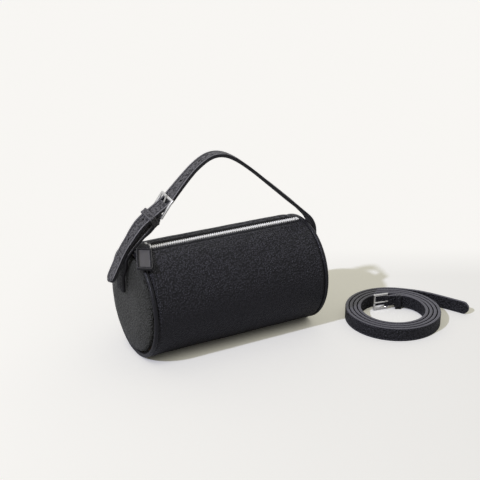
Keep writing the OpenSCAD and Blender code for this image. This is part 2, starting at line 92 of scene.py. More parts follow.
# Shoulder strap: shares of the coil's inner and outer radius, in plan round its centre
INNER_END_SHARES = [(0.26, 0.715), (0.5, 0.655), (0.735, 0.52), (0.91, 0.3), (0.985, 0.06)]
TAIL_SHARES = [
    (0.655, 0.715), (0.78, 0.6), (0.935, 0.44), (1.096, 0.202),
    (1.246, -0.088), (1.386, -0.377), (1.477, -0.57),
]
TURNS = 3.8333
TURN_STEPS = 60
START_DEGREES = -10
# How far the pull's tag hangs out of line with its link, towards the near end, and its turn in degrees
TAG_SHIFT = 2.6 * MM
PULL_TURN = -21
# Height of the gap's raised rear lip, and distance of the stitches from both edges of the gap
LIP_RISE = 2.7 * MM
LIP_SEAM = 4.2 * MM
# How much further than the right tab the left one stands out from its end panel
TAB_PROUD = 2.6 * MM
# Puckers round the rim of an end panel, and the frames in which cloth pressure fills it
PUCKERS = 110
CLOTH_FRAMES = 20
# Distance from one stitch of the straps to the next
STITCH_STEP = 3.4 * MM
# Grid of the handle's straps: length of a cell, and cells across
STRAP_PITCH = 0.95 * MM
STRAP_ROWS = 16
# Size of the pebbles raised on the barrel
PEBBLE = 2.6 * MM
# Height of the handle's pivot over the barrel's axis, and length of a tab, in barrel radii
PIVOT_SHARE = 0.53
TAB_SHARE = 0.27
# Gap between pieces that touch in the real bag
CLEARANCE = 0.3 * MM
# Height that the buckle's end of the shoulder strap stands off the floor
END_RISE = 2 * MM
# Points from one station to the next, and round the barrel
STEPS = 8
ROUND_STEPS = 360
# Points closer than this lie in one row of a grid
SAME_PLACE = 2e-6
# Scale at which a wave texture repeats once in a metre
WAVE_SCALE = 0.314


def linear(code):
    """Turns an sRGB hex value to a linear colour."""
    parts = [int(code[i:i + 2], 16) / 255 for i in (1, 3, 5)]
    return tuple(c / 12.92 if c <= 0.04045 else ((c + 0.055) / 1.055) ** 2.4 for c in parts) + (1.0,)


def size(name, description, default):
    return FloatProperty(name=name, description=description, default=default, min=0.0, unit='LENGTH')


def colour(name, description, code):
    return FloatVectorProperty(
        name=name, description=description, default=linear(code), size=4, min=0, max=1, subtype='COLOR')


class BarrelSizes(PropertyGroup):
    length: size("Length", "Length of the leather wrap between its end seams", 0.2)
    radius: size("Radius", "Outer radius of the barrel", 0.06)
    flat: size("Flat", "Width of the flat that the barrel rests on", 0.028)
    leather: size("Leather", "Thickness of the outer leather", 0.0018)
    dome: size("Dome", "How far an end swells out from its seam", 0.011)
    roll: size("Roll", "Radius of the roll round the edge of an end", 0.0085)
    piping: size("Piping", "Diameter of the piping round each end", 0.0048)
    piping_proud: size("Piping rise", "How far the piping stands out from the wrap", 0.0004)


class ZipSizes(PropertyGroup):
    gap: size("Gap", "Width of the gap in the wrap", 0.008)
    shift: size("Shift", "Distance of the zip in front of the barrel's top", 0.003)
    tape: size("Tape width", "Width of one tape", 0.012)
    tape_thickness: size("Tape thickness", "Thickness of the tapes", 0.0006)
    pitch: size("Tooth pitch", "Distance from one tooth to the next", 0.0025)
    slider: size("Slider place", "Distance of the slider from the barrel's middle", 0.088)
    pull_width: size("Pull width", "Width of the leather pull", 0.017)
    pull_length: size("Pull length", "Length of the leather pull below its link", 0.033)
    pull_thickness: size("Pull thickness", "Thickness of the leather pull", 0.003)
    link: size("Link length", "Length of the link between its bars", 0.007)


class StrapSizes(PropertyGroup):
    width: size("Width", "Width of the handle and of the shoulder strap", 0.015)
    thickness: size("Thickness", "Thickness of both straps", 0.0038)
    rise: size("Handle rise", "Height of the handle's peak above the barrel", 0.089)
    wire: size("Buckle wire", "Thickness of the buckle's bars", 0.0018)
    prong: size("Prong", "Thickness of a prong", 0.0016)
    eye: size("Eye", "Outer radius of the leather round a buckle's bar", 0.00258)
    coil: size("Coil radius", "Outer radius of the coiled shoulder strap", 0.057)
    turn_gap: size("Turn gap", "Gap between two turns of the coil", 0.0009)
    coil_x: size("Coil to the right", "Distance of the coil's centre to the right", 0.1874)
    coil_y: size("Coil in front", "Distance of the coil's centre in front", 0.0729)


class BagColours(PropertyGroup):
    wrap: colour("Wrap", "Leather round the barrel", "#262529")
    # Lighter than the wrap: painted light on the ends, which face the lamp
    ends: colour("Ends", "Leather of the end panels", "#42423d")
    # Lighter than the wrap, though the same hide: painted light on the straps' sunward faces
    strap: colour("Strap", "Leather of the straps", "#6c6a6a")
    # Painted shade in the creases between the pebbles
    crease_shade: colour("Crease", "Leather in the creases between the pebbles", "#0c0c0e")
    edge: colour("Edge paint", "Paint on the straps' cut edges", "#151417")
    nickel: colour("Nickel", "Buckles, link and slider", "#dedcd6")
    zipper: colour("Zip metal", "Teeth of the zip", "#fbfaf7")
    tape: colour("Tape", "Cloth tape of the zip", "#161619")
    # Lighter than the handle's edge paint: partly the paint's own grey, partly painted sheen on the coil's
    # upward edges
    coil_edge: colour("Coil edge", "Paint on the shoulder strap's cut edges", "#4e4c52")
    thread: colour("Thread", "Sewing thread", "#57565b")
    lining: colour("Lining", "Cloth lining", "#3b3a38")
    board: colour("Board", "Stiffening board", "#8a7452")
    floor: colour("Floor", "Floor and wall of the stage", "#fefefe")


# Objects

def fresh():
    """Leaves nothing selected before a new primitive."""
    if bpy.context.mode != 'OBJECT':
        bpy.ops.object.mode_set(mode='OBJECT')
    bpy.ops.object.select_all(action='DESELECT')


def take(obj):
    """Makes one object the only selected and active one."""
    fresh()
    obj.select_set(True)
    bpy.context.view_layer.objects.active = obj


def named(name):
    obj = bpy.context.object
    obj.name = name
    obj.data.name = name
    return obj


def settle(obj):
    """Puts the object's place, turn and scale in its mesh."""
    take(obj)
    bpy.ops.object.transform_apply(location=True, rotation=True, scale=True)


def move(obj, matrix):
    """Moves a piece by a matrix and settles it."""
    obj.matrix_world = matrix
    settle(obj)


def put_in_scene(name, data):
    """Puts data in the scene as an object."""
    obj = bpy.data.objects.new(name, data)
    bpy.context.collection.objects.link(obj)
    return obj


def modify(obj, kind, **settings):
    """Adds a modifier with its settings and applies it."""
    take(obj)
    made = obj.modifiers.new(kind.title(), kind)
    for key, value in settings.items():
        setattr(made, key, value)
    bpy.ops.object.modifier_apply(modifier=made.name)


def bevel(obj, width, segments):
    """Rounds a piece's sharp edges."""
    modify(obj, 'BEVEL', width=width, segments=segments, limit_method='ANGLE',
           angle_limit=math.radians(60))


def repeat(obj, count, step):
    """Repeats a piece along X."""
    modify(obj, 'ARRAY', count=count, use_relative_offset=False, use_constant_offset=True,
           constant_offset_displace=(step, 0, 0))


def join(name, pieces):
    """Joins pieces into the first of them."""
    take(pieces[0])
    for piece in pieces[1:]:
        piece.select_set(True)
    bpy.ops.object.join()
    return named(name)


def edit_all(obj):
    """Opens a piece in edit mode with all of it selected."""
    take(obj)
    bpy.ops.object.mode_set(mode='EDIT')
    bpy.ops.mesh.select_all(action='SELECT')


def pick(obj, kind, test):
    """Selects the faces or the points that pass a test and stays in edit mode."""
    take(obj)
    bpy.ops.object.mode_set(mode='EDIT')
    bpy.ops.mesh.select_mode(type=kind)
    bpy.ops.mesh.select_all(action='DESELECT')
    bpy.ops.object.mode_set(mode='OBJECT')
    for part in (obj.data.polygons if kind == 'FACE' else obj.data.vertices):
        part.select = test(part)
    bpy.ops.object.mode_set(mode='EDIT')


def resize(obj, kind, test, value, centre=(0, 0, 0)):
    """Scales the faces or the points that pass a test about a centre."""
    pick(obj, kind, test)
    bpy.ops.transform.resize(value=value, center_override=centre)
    bpy.ops.object.mode_set(mode='OBJECT')


def press_to_floor(obj, height=0.0):
    """Flattens what lies below a height onto the floor."""
    resize(obj, 'VERT', lambda point: point.co.z < height, (1, 1, 0))


def only(test, share):
    """A share that holds where a test passes, and is nothing elsewhere."""
    return lambda co: share(co) if test(co) else 0.0


def lift(obj, amount, share, direction='NORMAL', **settings):
    """Moves points by an amount, in the share that each point's place gives."""
    group = obj.vertex_groups.new(name="lift")
    for vertex in obj.data.vertices:
        weight = share(vertex.co)
        if weight > 0:
            group.add([vertex.index], min(weight, 1.0), 'REPLACE')
    settings.setdefault("mid_level", 0.0)
    modify(obj, 'DISPLACE', strength=amount, vertex_group="lift", direction=direction, **settings)
    obj.vertex_groups.remove(obj.vertex_groups["lift"])


def textured(obj, kind, amount, share, **pattern):
    """Moves points by a pattern, in the share that each point's place gives."""
    texture = bpy.data.textures.new("pattern", kind)
    for key, value in pattern.items():
        setattr(texture, key, value)
    lift(obj, amount, share, texture=texture, texture_coords='LOCAL', mid_level=0.5)
    bpy.data.textures.remove(texture)


def grain(obj, cell, relief, share):
    """Raises leather pebbles of one cell size on the part of a piece that a share gives."""
    textured(obj, 'VORONOI', -relief, share, noise_scale=cell, distance_metric='DISTANCE')


def ripple(obj, scale, amount, share):
    """Gives a surface the slow unevenness of soft leather."""
    textured(obj, 'CLOUDS', amount, share, noise_scale=scale, noise_depth=1)


def smooth(obj, degrees=50):
    """Shades a piece smooth where it turns by less than an angle."""
    take(obj)
    bpy.ops.object.shade_smooth_by_angle(angle=math.radians(degrees))


def coat(obj, *kinds):
    """Adds finishes to a piece, in the order of its slots."""
    for kind in kinds:
        obj.data.materials.append(finish(kind))


def belong(obj, body, slot, *nodes):
    """Gives a piece its body and hides the CAD nodes that it replaces; the slot is not used."""
    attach(obj, body)
    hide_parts(*nodes)


def step_up(low, high, x):
    """Smooth rise from 0 at low to 1 at high."""
    t = min(max((x - low) / (high - low), 0.0), 1.0)
    return t * t * (3 - 2 * t)


def bump_at(middle, half, x):
    """Smooth hump of a half width round a middle."""
    t = abs(x - middle) / half
    return 0.0 if t >= 1 else (1 + math.cos(math.pi * t)) / 2


# Lines

def blend_points(a, b, c, d, t):
    """Point at a share t of the way from b to c, on a smooth line through all four."""
    return 0.5 * (2 * b + (c - a) * t + (2 * a - 5 * b + 4 * c - d) * t * t
                  + (3 * b - a - 3 * c + d) * t ** 3)


def smooth_line(points, steps=STEPS):
    """Smooth line through stations."""
    points = [Vector(p) for p in points]
    last = len(points) - 1
    line = []
    for i in range(last):
        for j in range(steps):
            line.append(blend_points(
                points[max(i - 1, 0)], points[i], points[i + 1], points[min(i + 2, last)], j / steps))
    return line + [points[last]]


def heading(line, i):
    """Way that a line runs at a point."""
    i = int(round(i))
    return (line[min(i + 1, len(line) - 1)] - line[max(i - 1, 0)]).normalized()


def outward(line, i):
    """Way out of the handle's loop at a point."""
    t = heading(line, i)
    return Vector((t.y, -t.x))


def arcs(line):
    """Distance of each point of a line from its start."""
    total = [0.0]
    for a, b in zip(line, line[1:]):
        total.append(total[-1] + (b - a).length)
    return total


def between(table, x):
    """Value at x of a table of places and values, eased between them."""
    for (x0, y0), (x1, y1) in zip(table, table[1:]):
        if x <= x1:
            return y0 + (y1 - y0) * step_up(x0, x1, x)
    return table[-1][1]


def axis_height(barrel):
    """Height of the barrel's axis over the floor, which cuts off its flat."""
    return math.sqrt(barrel.radius ** 2 - barrel.flat ** 2 / 4)


class Lines:
    """The straps' middle lines and what hangs on them, from the sizes in the panel."""

    def __init__(self, scene):
        barrel, straps, zips = scene.bag_barrel, scene.bag_straps, scene.bag_zip
        self.axis = axis_height(barrel)
        self.top = self.axis + barrel.radius
        self.zip_y = -zips.shift
        self.half = barrel.length / 2
        self.face_x = self.half + barrel.dome
        self.clear = CLEARANCE
        self.tab_x = self.face_x + self.clear + straps.thickness / 2
        self.pivot = self.axis + PIVOT_SHARE * barrel.radius
        tab = TAB_SHARE * barrel.radius
        half_t = straps.thickness / 2
        foot = [(self.tab_x + (half_t if i == 2 else 0), self.pivot + k * tab)
                for i, k in enumerate(RIGHT_FOOT_SHARES)]
        rest = [(x * self.face_x, self.top + z * straps.rise) for x, z in HANDLE_SHARES]
        self.handle = smooth_line(foot + rest)
        far, near = FAR_STATION * STEPS, PRONG_STATION * STEPS
        self.far_bar = self.handle[far] + (half_t + self.clear + straps.wire / 2) * outward(self.handle, far)
        self.near_bar = self.handle[near] - (half_t + self.clear + straps.eye) * outward(self.handle, near)
        self.buckle = smooth_line(
            [self.near_bar]
            + [(x * self.face_x, self.top + z * straps.rise) for x, z in BUCKLE_SHARES]
            + [(-self.tab_x, self.pivot + k * tab) for k in LEFT_FOOT_SHARES])
        turn = straps.thickness + straps.turn_gap
        self.coil_in = straps.coil - half_t - TURNS * turn
        spiral = []
        for i in range(int(TURNS * TURN_STEPS) + 1):
            angle = math.radians(START_DEGREES - 360 * i / TURN_STEPS)
            reach = self.coil_in + turn * i / TURN_STEPS
            spiral.append(Vector((reach * math.cos(angle), reach * math.sin(angle))))
        inner = smooth_line([(x * self.coil_in, y * self.coil_in) for x, y in INNER_END_SHARES] + spiral[:2])
        outer = smooth_line(spiral[-2:] + [(x * straps.coil, y * straps.coil) for x, y in TAIL_SHARES])
        self.coil = inner[:-1 - STEPS] + spiral[:-1] + outer[STEPS:]
        self.coil_centre = Vector((straps.coil_x, -straps.coil_y, 0))

    def in_bag(self, point):
        """Place in the bag of a point on the handle's plane."""
        return Vector((point.x, self.zip_y, point.y))


def bend(obj, line, quarter, twists=None, sideways=None):
    """Bends a flat blank along a line, with its face on the side that the quarter turn gives."""
    obj.rotation_euler.x = quarter
    settle(obj)
    data = bpy.data.curves.new("route", 'CURVE')
    data.dimensions = '3D'
    data.twist_mode = 'Z_UP'
    spline = data.splines.new('POLY')
    spline.points.add(len(line) - 1)
    for i, (point, place) in enumerate(zip(spline.points, line)):
        point.co = (place.x, place.y, sideways(i) if sideways else 0.0, 1.0)
        point.tilt = math.radians(twists(i)) if twists else 0.0
    route = put_in_scene("route", data)
    modify(obj, 'CURVE', object=route, deform_axis='POS_X')
    bpy.data.objects.remove(route)
    bpy.data.curves.remove(data)


def on_handle(obj, lines, line, twists=None, sideways=None):
    """Bends a blank along a line in the handle's plane, its face outward."""
    bend(obj, line, QUARTER, twists, sideways)
    move(obj, Matrix.Translation((0, lines.zip_y, 0)) @ Matrix.Rotation(QUARTER, 4, 'X'))


def on_coil(obj, lines, lift_by):
    """Bends a blank along the coil, its face away from the coil's middle."""
    bend(obj, lines.coil, -QUARTER)
    obj.location = lines.coil_centre + Vector((0, 0, lift_by))
    settle(obj)


def barrel_line(scene):
    """Outline of the wrap's outside, once round from the zip's middle over the back."""
    barrel, zips = scene.bag_barrel, scene.bag_zip
    axis = axis_height(barrel)
    start = -math.asin(zips.shift / barrel.radius)
    line = []
    for i in range(ROUND_STEPS + 1):
        angle = start + 2 * math.pi * i / ROUND_STEPS
        y, z = barrel.radius * math.sin(angle), axis + barrel.radius * math.cos(angle)
        line.append(Vector((y, max(z, 0.0))))
    return line


def on_barrel(obj, scene):
    """Bends a blank round the barrel: its X goes back from the zip, its face outward."""
    bend(obj, barrel_line(scene), -QUARTER)
    move(obj, Matrix(((0, 0, 1, 0), (1, 0, 0, 0), (0, 1, 0, 0), (0, 0, 0, 1))))


def place(obj, origin, along, up):
    """Moves a piece made at the origin: its X goes along, its Z up."""
    x = along.normalized()
    z = (up - up.dot(x) * x).normalized()
    y = z.cross(x)
    move(obj, Matrix.Translation(origin) @ Matrix((x, y, z)).transposed().to_4x4())


def twist(obj, lines):
    """Turns a piece of the buckle about the handle's line with the strap under it."""
    i = int((FAR_STATION + PRONG_STATION) / 2 * STEPS)
    direction = heading(lines.handle, i)
    centre = lines.in_bag(lines.handle[i])
    turn = Matrix.Rotation(math.radians(BUCKLE_TWIST), 4, Vector((direction.x, 0, direction.y)))
    move(obj, Matrix.Translation(centre) @ turn @ Matrix.Translation(-centre))


# Blanks

def scaled(name, scale):
    """Names the new primitive and gives it its size."""
    obj = named(name)
    obj.scale = scale
    settle(obj)
    return obj


def sheet(name, columns, rows, length, width, middle):
    """Flat grid of a length along X and a width along Y."""
    fresh()
    bpy.ops.mesh.primitive_grid_add(x_subdivisions=columns, y_subdivisions=rows, size=1, location=middle)
    return scaled(name, (length, width, 1))


def block(name, scale, middle=(0, 0, 0)):
    """Box of a given size."""
    fresh()
    bpy.ops.mesh.primitive_cube_add(size=1, location=middle)
    return scaled(name, scale)


def band(name, length, width, low, high, pitch, rows, face, edge):
    """Flat strip from x = 0, with rounded edges, a face finish and an edge finish."""
    obj = sheet(name, max(2, round(length / pitch)), rows, length, width, (length / 2, 0, (low + high) / 2))
    modify(obj, 'SOLIDIFY', thickness=high - low, offset=0)
    bevel(obj, 0.22 * (high - low), 2)
    coat(obj, face, edge)
    for polygon in obj.data.polygons:
        polygon.material_index = 0 if abs(polygon.normal.z) > 0.9 else 1
    return obj


def round_end(obj, end, radius):
    """Draws the points near a strip's end in to a half round."""
    for x in sorted({round(v.co.x, 6) for v in obj.data.vertices if v.co.x - end > -radius}):
        depth = radius - (end - x)
        share = math.sqrt(max(1 - (depth / radius) ** 2, 0.004))
        resize(obj, 'VERT', lambda point, x=x: abs(point.co.x - x) < SAME_PLACE, (1, share, 1), (x, 0, 0))


def punch(obj, places, width, across=0.0):
    """Cuts round holes, or slots that run across, through a flat blank."""
    cutters = []
    for x in places:
        for k in ((-1, 1) if across else (0,)):
            fresh()
            bpy.ops.mesh.primitive_cylinder_add(
                vertices=20, radius=width / 2, depth=20 * MM, location=(x, k * (across - width) / 2, 0))
            cutters.append(named("punch"))
        if across:
            cutters.append(block("punch", (width, across - width, 21 * MM), (x, 0, 0)))
    for cutter in cutters:
        modify(obj, 'BOOLEAN', operation='DIFFERENCE', solver='EXACT', object=cutter)
        bpy.data.objects.remove(cutter)


def stitches(name, first, step, count, rows, height, length=2.4 * MM, radius=0.28 * MM):
    """Rows of sewn stitches along X, one modelled and the rest copied."""
    fresh()
    bpy.ops.mesh.primitive_uv_sphere_add(segments=6, ring_count=4, radius=1)
    one = named(name)
    one.rotation_euler = (0, QUARTER, 0)
    settle(one)
    one.scale = (length / 2, radius, radius)
    settle(one)
    made = []
    for row in rows:
        copy = put_in_scene(name, one.data.copy())
        copy.location = (first, row, height)
        settle(copy)
        repeat(copy, count, step)
        made.append(copy)
    bpy.data.objects.remove(one)
    obj = join(name, made) if len(made) > 1 else made[0]
    coat(obj, "thread")
    smooth(obj, 60)
    return obj


def strap_seam(name, straps, first, length, inset=2.6 * MM):
    """A row of stitches along each side of a strap, a little sunk in its face."""
    row = straps.width / 2 - inset
    return stitches(name, first, STITCH_STEP, int(length / STITCH_STEP), (-row, row),
                    straps.thickness / 2 - 0.2 * MM)


def wire(name, points, radius, closed=False):
    """Round nickel wire through points."""
    data = bpy.data.curves.new(name, 'CURVE')
    data.dimensions = '3D'
    data.bevel_depth = radius
    data.bevel_resolution = 4
    data.use_fill_caps = True
    spline = data.splines.new('POLY')
    spline.points.add(len(points) - 1)
    for point, co in zip(spline.points, points):
        point.co = (*co, 1.0)
    spline.use_cyclic_u = closed
    take(put_in_scene(name, data))
    bpy.ops.object.convert(target='MESH')
    obj = named(name)
    coat(obj, "nickel")
    smooth(obj)
    return obj


def rounded(points, radius, steps=5):
    """Closed outline with its corners rounded."""
    points = [Vector(p) for p in points]
    out = []
    for i, corner in enumerate(points):
        before = (points[i - 1] - corner).normalized()
        after = (points[(i + 1) % len(points)] - corner).normalized()
        for k in range(steps + 1):
            t = k / steps
            a, b = corner + before * radius, corner + after * radius
            out.append((1 - t) ** 2 * a + 2 * t * (1 - t) * corner + t * t * b)
    return out


def eye(name, radius, hole, width, gap, kind):
    """A roll round a buckle's bar, along Z at the origin, with a gap for the prong."""
    half = (width - gap) / 2
    parts = []
    for side in (-1, 1):
        fresh()
        bpy.ops.mesh.primitive_cylinder_add(
            vertices=40, radius=radius, depth=half, end_fill_type='NOTHING',
            location=(0, 0, side * (gap / 2 + half / 2)))
        part = named(name)
        settle(part)
        modify(part, 'SOLIDIFY', thickness=radius - hole, offset=-1)
        bevel(part, 0.3 * MM, 2)
        parts.append(part)
    obj = join(name, parts)
    coat(obj, kind)
    return obj


def strap_eye(name, straps, width, kind):
    """Leather rolled round a buckle's bar, with a gap for the prong."""
    return eye(name, straps.eye, straps.wire / 2 + 0.08 * MM, width, 3.0 * MM, kind)


def ringed(name, rod, straps, middle):
    """Joins a prong's rod to its ring round the hinge bar."""
    ring = eye("prong_ring", straps.wire / 2 + 0.9 * MM, straps.wire / 2 + 0.06 * MM, 2.4 * MM, 0.0, "nickel")
    move(ring, middle)
    obj = join(name, [rod, ring])
    smooth(obj)
    return obj


# Materials

def tinted(tone, share=1.0):
    """A colour made darker or lighter by a share."""
    return tuple(share * c for c in tone[:3]) + (1.0,)


def add(tree, kind, links=None, inputs=None, **settings):
    """Adds a node with its options, socket values and links."""
    node = tree.nodes.new(kind)
    for key, value in settings.items():
        setattr(node, key, value)
    for key, value in (inputs or {}).items():
        node.inputs[key].default_value = value
    for key, socket in (links or {}).items():
        tree.links.new(socket, node.inputs[key])
    return node


def started(name):
    """New material, its node tree and the place on the object."""
    material = bpy.data.materials.new(name)
    material.use_nodes = True
    tree = material.node_tree
    tree.nodes.clear()
    return material, tree, add(tree, "ShaderNodeTexCoord").outputs["Object"]


def finished(material, tree, shader):
    add(tree, "ShaderNodeOutputMaterial", {"Surface": shader.outputs[0]})
    return material


def span(low, high, start, end):
    """Socket values of a range that is mapped to another."""
    return {"From Min": low, "From Max": high, "To Min": start, "To Max": end}


def pebbled_leather(name, top, crease_shade, cell, relief, rough, open_share=0.35, painted_sheen=0.0):
    """Drum-dyed cowhide, embossed with a pebble grain: glossier pebbles with a painted sheen, creases painted
    dark as shade.

    The cell is the pebbles' size, about 2 mm in the photo. The relief is deeper than real pebbles
    are high, and pores are a fifth of a cell, coarser than real ones, so that both show. Patches
    45 mm wide differ a little in tone, as on a dyed hide. The painted sheen is a painted highlight
    that lightens the pebbles' crowns where the hide faces up. The crease shade is painted into the
    colour between the pebbles. Smooth and backing leathers are the same hide with finer and
    flatter cells.
    """
    material, tree, here = started(name)
    drift = add(tree, "ShaderNodeTexNoise", {"Vector": here}, {"Scale": 0.4 / cell, "Detail": 2.0})
    bent = add(tree, "ShaderNodeVectorMath", {0: drift.outputs["Color"], 2: here},
               {1: (0.4 * cell, 0.4 * cell, 0.4 * cell)}, operation='MULTIPLY_ADD')
    pebbles = add(tree, "ShaderNodeTexVoronoi", {"Vector": bent.outputs[0]},
                  {"Scale": 1 / cell, "Smoothness": 0.3}, feature='SMOOTH_F1')
    pores = add(tree, "ShaderNodeTexNoise", {"Vector": here}, {"Scale": 5 / cell, "Detail": 3.0})
    patches = add(tree, "ShaderNodeTexNoise", {"Vector": here}, {"Scale": 22.0, "Detail": 2.0})
    height = add(tree, "ShaderNodeMapRange", {"Value": pebbles.outputs["Distance"]},
                 span(0.15, 0.75, 1.0, 0.0))
    grained = add(tree, "ShaderNodeMath", {0: pores.outputs["Fac"], 2: height.outputs[0]},
                  {1: 0.35}, operation='MULTIPLY_ADD')
    open_part = add(tree, "ShaderNodeMapRange", {"Value": height.outputs[0]},
                    span(0.0, 0.45, open_share, 1.0))
    # Painted sheen: the pebbles' crowns are lightened where the hide faces up, as a painted highlight
    normal = add(tree, "ShaderNodeNewGeometry").outputs["Normal"]
    facing = add(tree, "ShaderNodeSeparateXYZ", {0: normal})
    upward_sheen = add(tree, "ShaderNodeMapRange", {"Value": facing.outputs["Z"]}, span(-0.05, 0.9, 0.0, painted_sheen))
    crown = add(tree, "ShaderNodeMapRange", {"Value": height.outputs[0]}, span(0.3, 0.75, -0.45, 1.3))
    crown_sheen = add(tree, "ShaderNodeMath", {0: upward_sheen.outputs[0], 1: crown.outputs[0]}, {2: 1.0},
              operation='MULTIPLY_ADD')
    gain = add(tree, "ShaderNodeMath", {0: crown_sheen.outputs[0]}, {1: 0.15}, operation='MAXIMUM')
    # Painted shade: the colour darkens towards the crease shade between the pebbles
    flat = add(tree, "ShaderNodeMix", {0: open_part.outputs[0]}, {6: crease_shade, 7: top}, data_type='RGBA')
    tone = add(tree, "ShaderNodeVectorMath", {0: flat.outputs[2], "Scale": gain.outputs[0]},
               operation='SCALE')
    uneven = add(tree, "ShaderNodeMapRange", {"Value": patches.outputs["Fac"]}, span(0.3, 0.7, 0.86, 1.14))
    dyed = add(tree, "ShaderNodeVectorMath", {0: tone.outputs[0], "Scale": uneven.outputs[0]},
               operation='SCALE')
    shine = add(tree, "ShaderNodeMapRange", {"Value": grained.outputs[0]},
                span(0.0, 1.2, rough + 0.16, rough - 0.05))
    bump = add(tree, "ShaderNodeBump", {"Height": grained.outputs[0]}, {"Strength": 1.0, "Distance": relief})
    return finished(material, tree, add(
        tree, "ShaderNodeBsdfPrincipled",
        {"Base Color": dyed.outputs[0], "Roughness": shine.outputs[0], "Normal": bump.outputs[0]},
        {"Specular IOR Level": 0.28, "IOR": 1.5}))


def two_toned(material, tree, pattern, tones, strength, depth, **surface):
    """Finishes a material whose pattern blends two tones and raises the surface by a depth."""
    shade = add(tree, "ShaderNodeMix", {0: pattern}, {6: tones[0], 7: tones[1]}, data_type='RGBA')
    bump = add(tree, "ShaderNodeBump", {"Height": pattern}, {"Strength": strength, "Distance": depth})
    return finished(material, tree, add(
        tree, "ShaderNodeBsdfPrincipled", {"Base Color": shade.outputs[2], "Normal": bump.outputs[0]},
        {key.replace("_", " "): value for key, value in surface.items()}))


def painted_edge(name, tone):
    """Cut leather edge under several coats of edge paint: dark, smooth and half glossy.

    The brush leaves waves about 1 mm long.
    """
    material, tree, here = started(name)
    waves = add(tree, "ShaderNodeTexNoise", {"Vector": here}, {"Scale": 900.0, "Detail": 2.0})
    return two_toned(material, tree, waves.outputs["Fac"], (tinted(tone), tinted(tone, 1.6)),
                     0.5, 0.1 * MM, Roughness=0.42, IOR=1.5)


def plated_metal(name, tone, rough, metallic=1.0, glint=0.0):
    """Nickel plate over cast zinc, polished: a bright mirror with faint polishing marks.

    The marks are 3 mm long and 0.4 mm wide, coarser than real ones, so that they show. The zip's
    teeth are the same metal, burnt out to white by the lamp in the photo, so they are only partly
    metallic and glow faintly.
    """
    material, tree, here = started(name)
    long_way = add(tree, "ShaderNodeMapping", {"Vector": here}, {"Scale": (300.0, 2600.0, 2600.0)})
    marks = add(tree, "ShaderNodeTexNoise", {"Vector": long_way.outputs[0]}, {"Scale": 1.0, "Detail": 3.0})
    shine = add(tree, "ShaderNodeMapRange", {"Value": marks.outputs["Fac"]},
                span(0.3, 0.7, rough - 0.06, rough + 0.08))
    bump = add(tree, "ShaderNodeBump", {"Height": marks.outputs["Fac"]},
               {"Strength": 0.15, "Distance": 0.05 * MM})
    return finished(material, tree, add(
        tree, "ShaderNodeBsdfPrincipled", {"Roughness": shine.outputs[0], "Normal": bump.outputs[0]},
        {"Base Color": tone, "Metallic": metallic, "Emission Color": tone, "Emission Strength": glint}))


def woven_cloth(name, tone, pitch, rough):
    """Plain woven polyester: matt, with a thread crossing every pitch.

    The pitch is about twice a real cloth's, so that the threads show.
    """
    material, tree, here = started(name)
    across, along = [
        add(tree, "ShaderNodeTexWave", {"Vector": here}, {"Scale": WAVE_SCALE / pitch, "Distortion": 0.4},
            bands_direction=way).outputs["Fac"] for way in ('X', 'Y')]
    weave = add(tree, "ShaderNodeMath", {0: across, 1: along}, operation='MULTIPLY')
    return two_toned(material, tree, weave.outputs[0], (tinted(tone, 0.5), tinted(tone)),
                     0.8, 0.15 * MM, Roughness=rough, Sheen_Weight=0.2)


def pressed_board(name, tone):
    """Pressed fibre board: matt, with fibres and specks a little under 1 mm."""
    material, tree, here = started(name)
    fibres = add(tree, "ShaderNodeTexNoise", {"Vector": here}, {"Scale": 1200.0, "Detail": 6.0})
    return two_toned(material, tree, fibres.outputs["Fac"], (tinted(tone, 0.7), tinted(tone)),
                     0.5, 0.2 * MM, Roughness=0.85)


def sewing_thread(name, tone):
    """Bonded nylon thread: a slight shine, with strands that cross every 0.35 mm."""
    material, tree, here = started(name)
    strands = add(tree, "ShaderNodeTexWave", {"Vector": here}, {"Scale": 900.0, "Distortion": 1.0},
                  bands_direction='DIAGONAL')
    shade = add(tree, "ShaderNodeMix", {0: strands.outputs["Fac"]},
                {6: tinted(tone, 0.6), 7: tinted(tone)}, data_type='RGBA')
    return finished(material, tree, add(
        tree, "ShaderNodeBsdfPrincipled", {"Base Color": shade.outputs[2]}, {"Roughness": 0.5}))


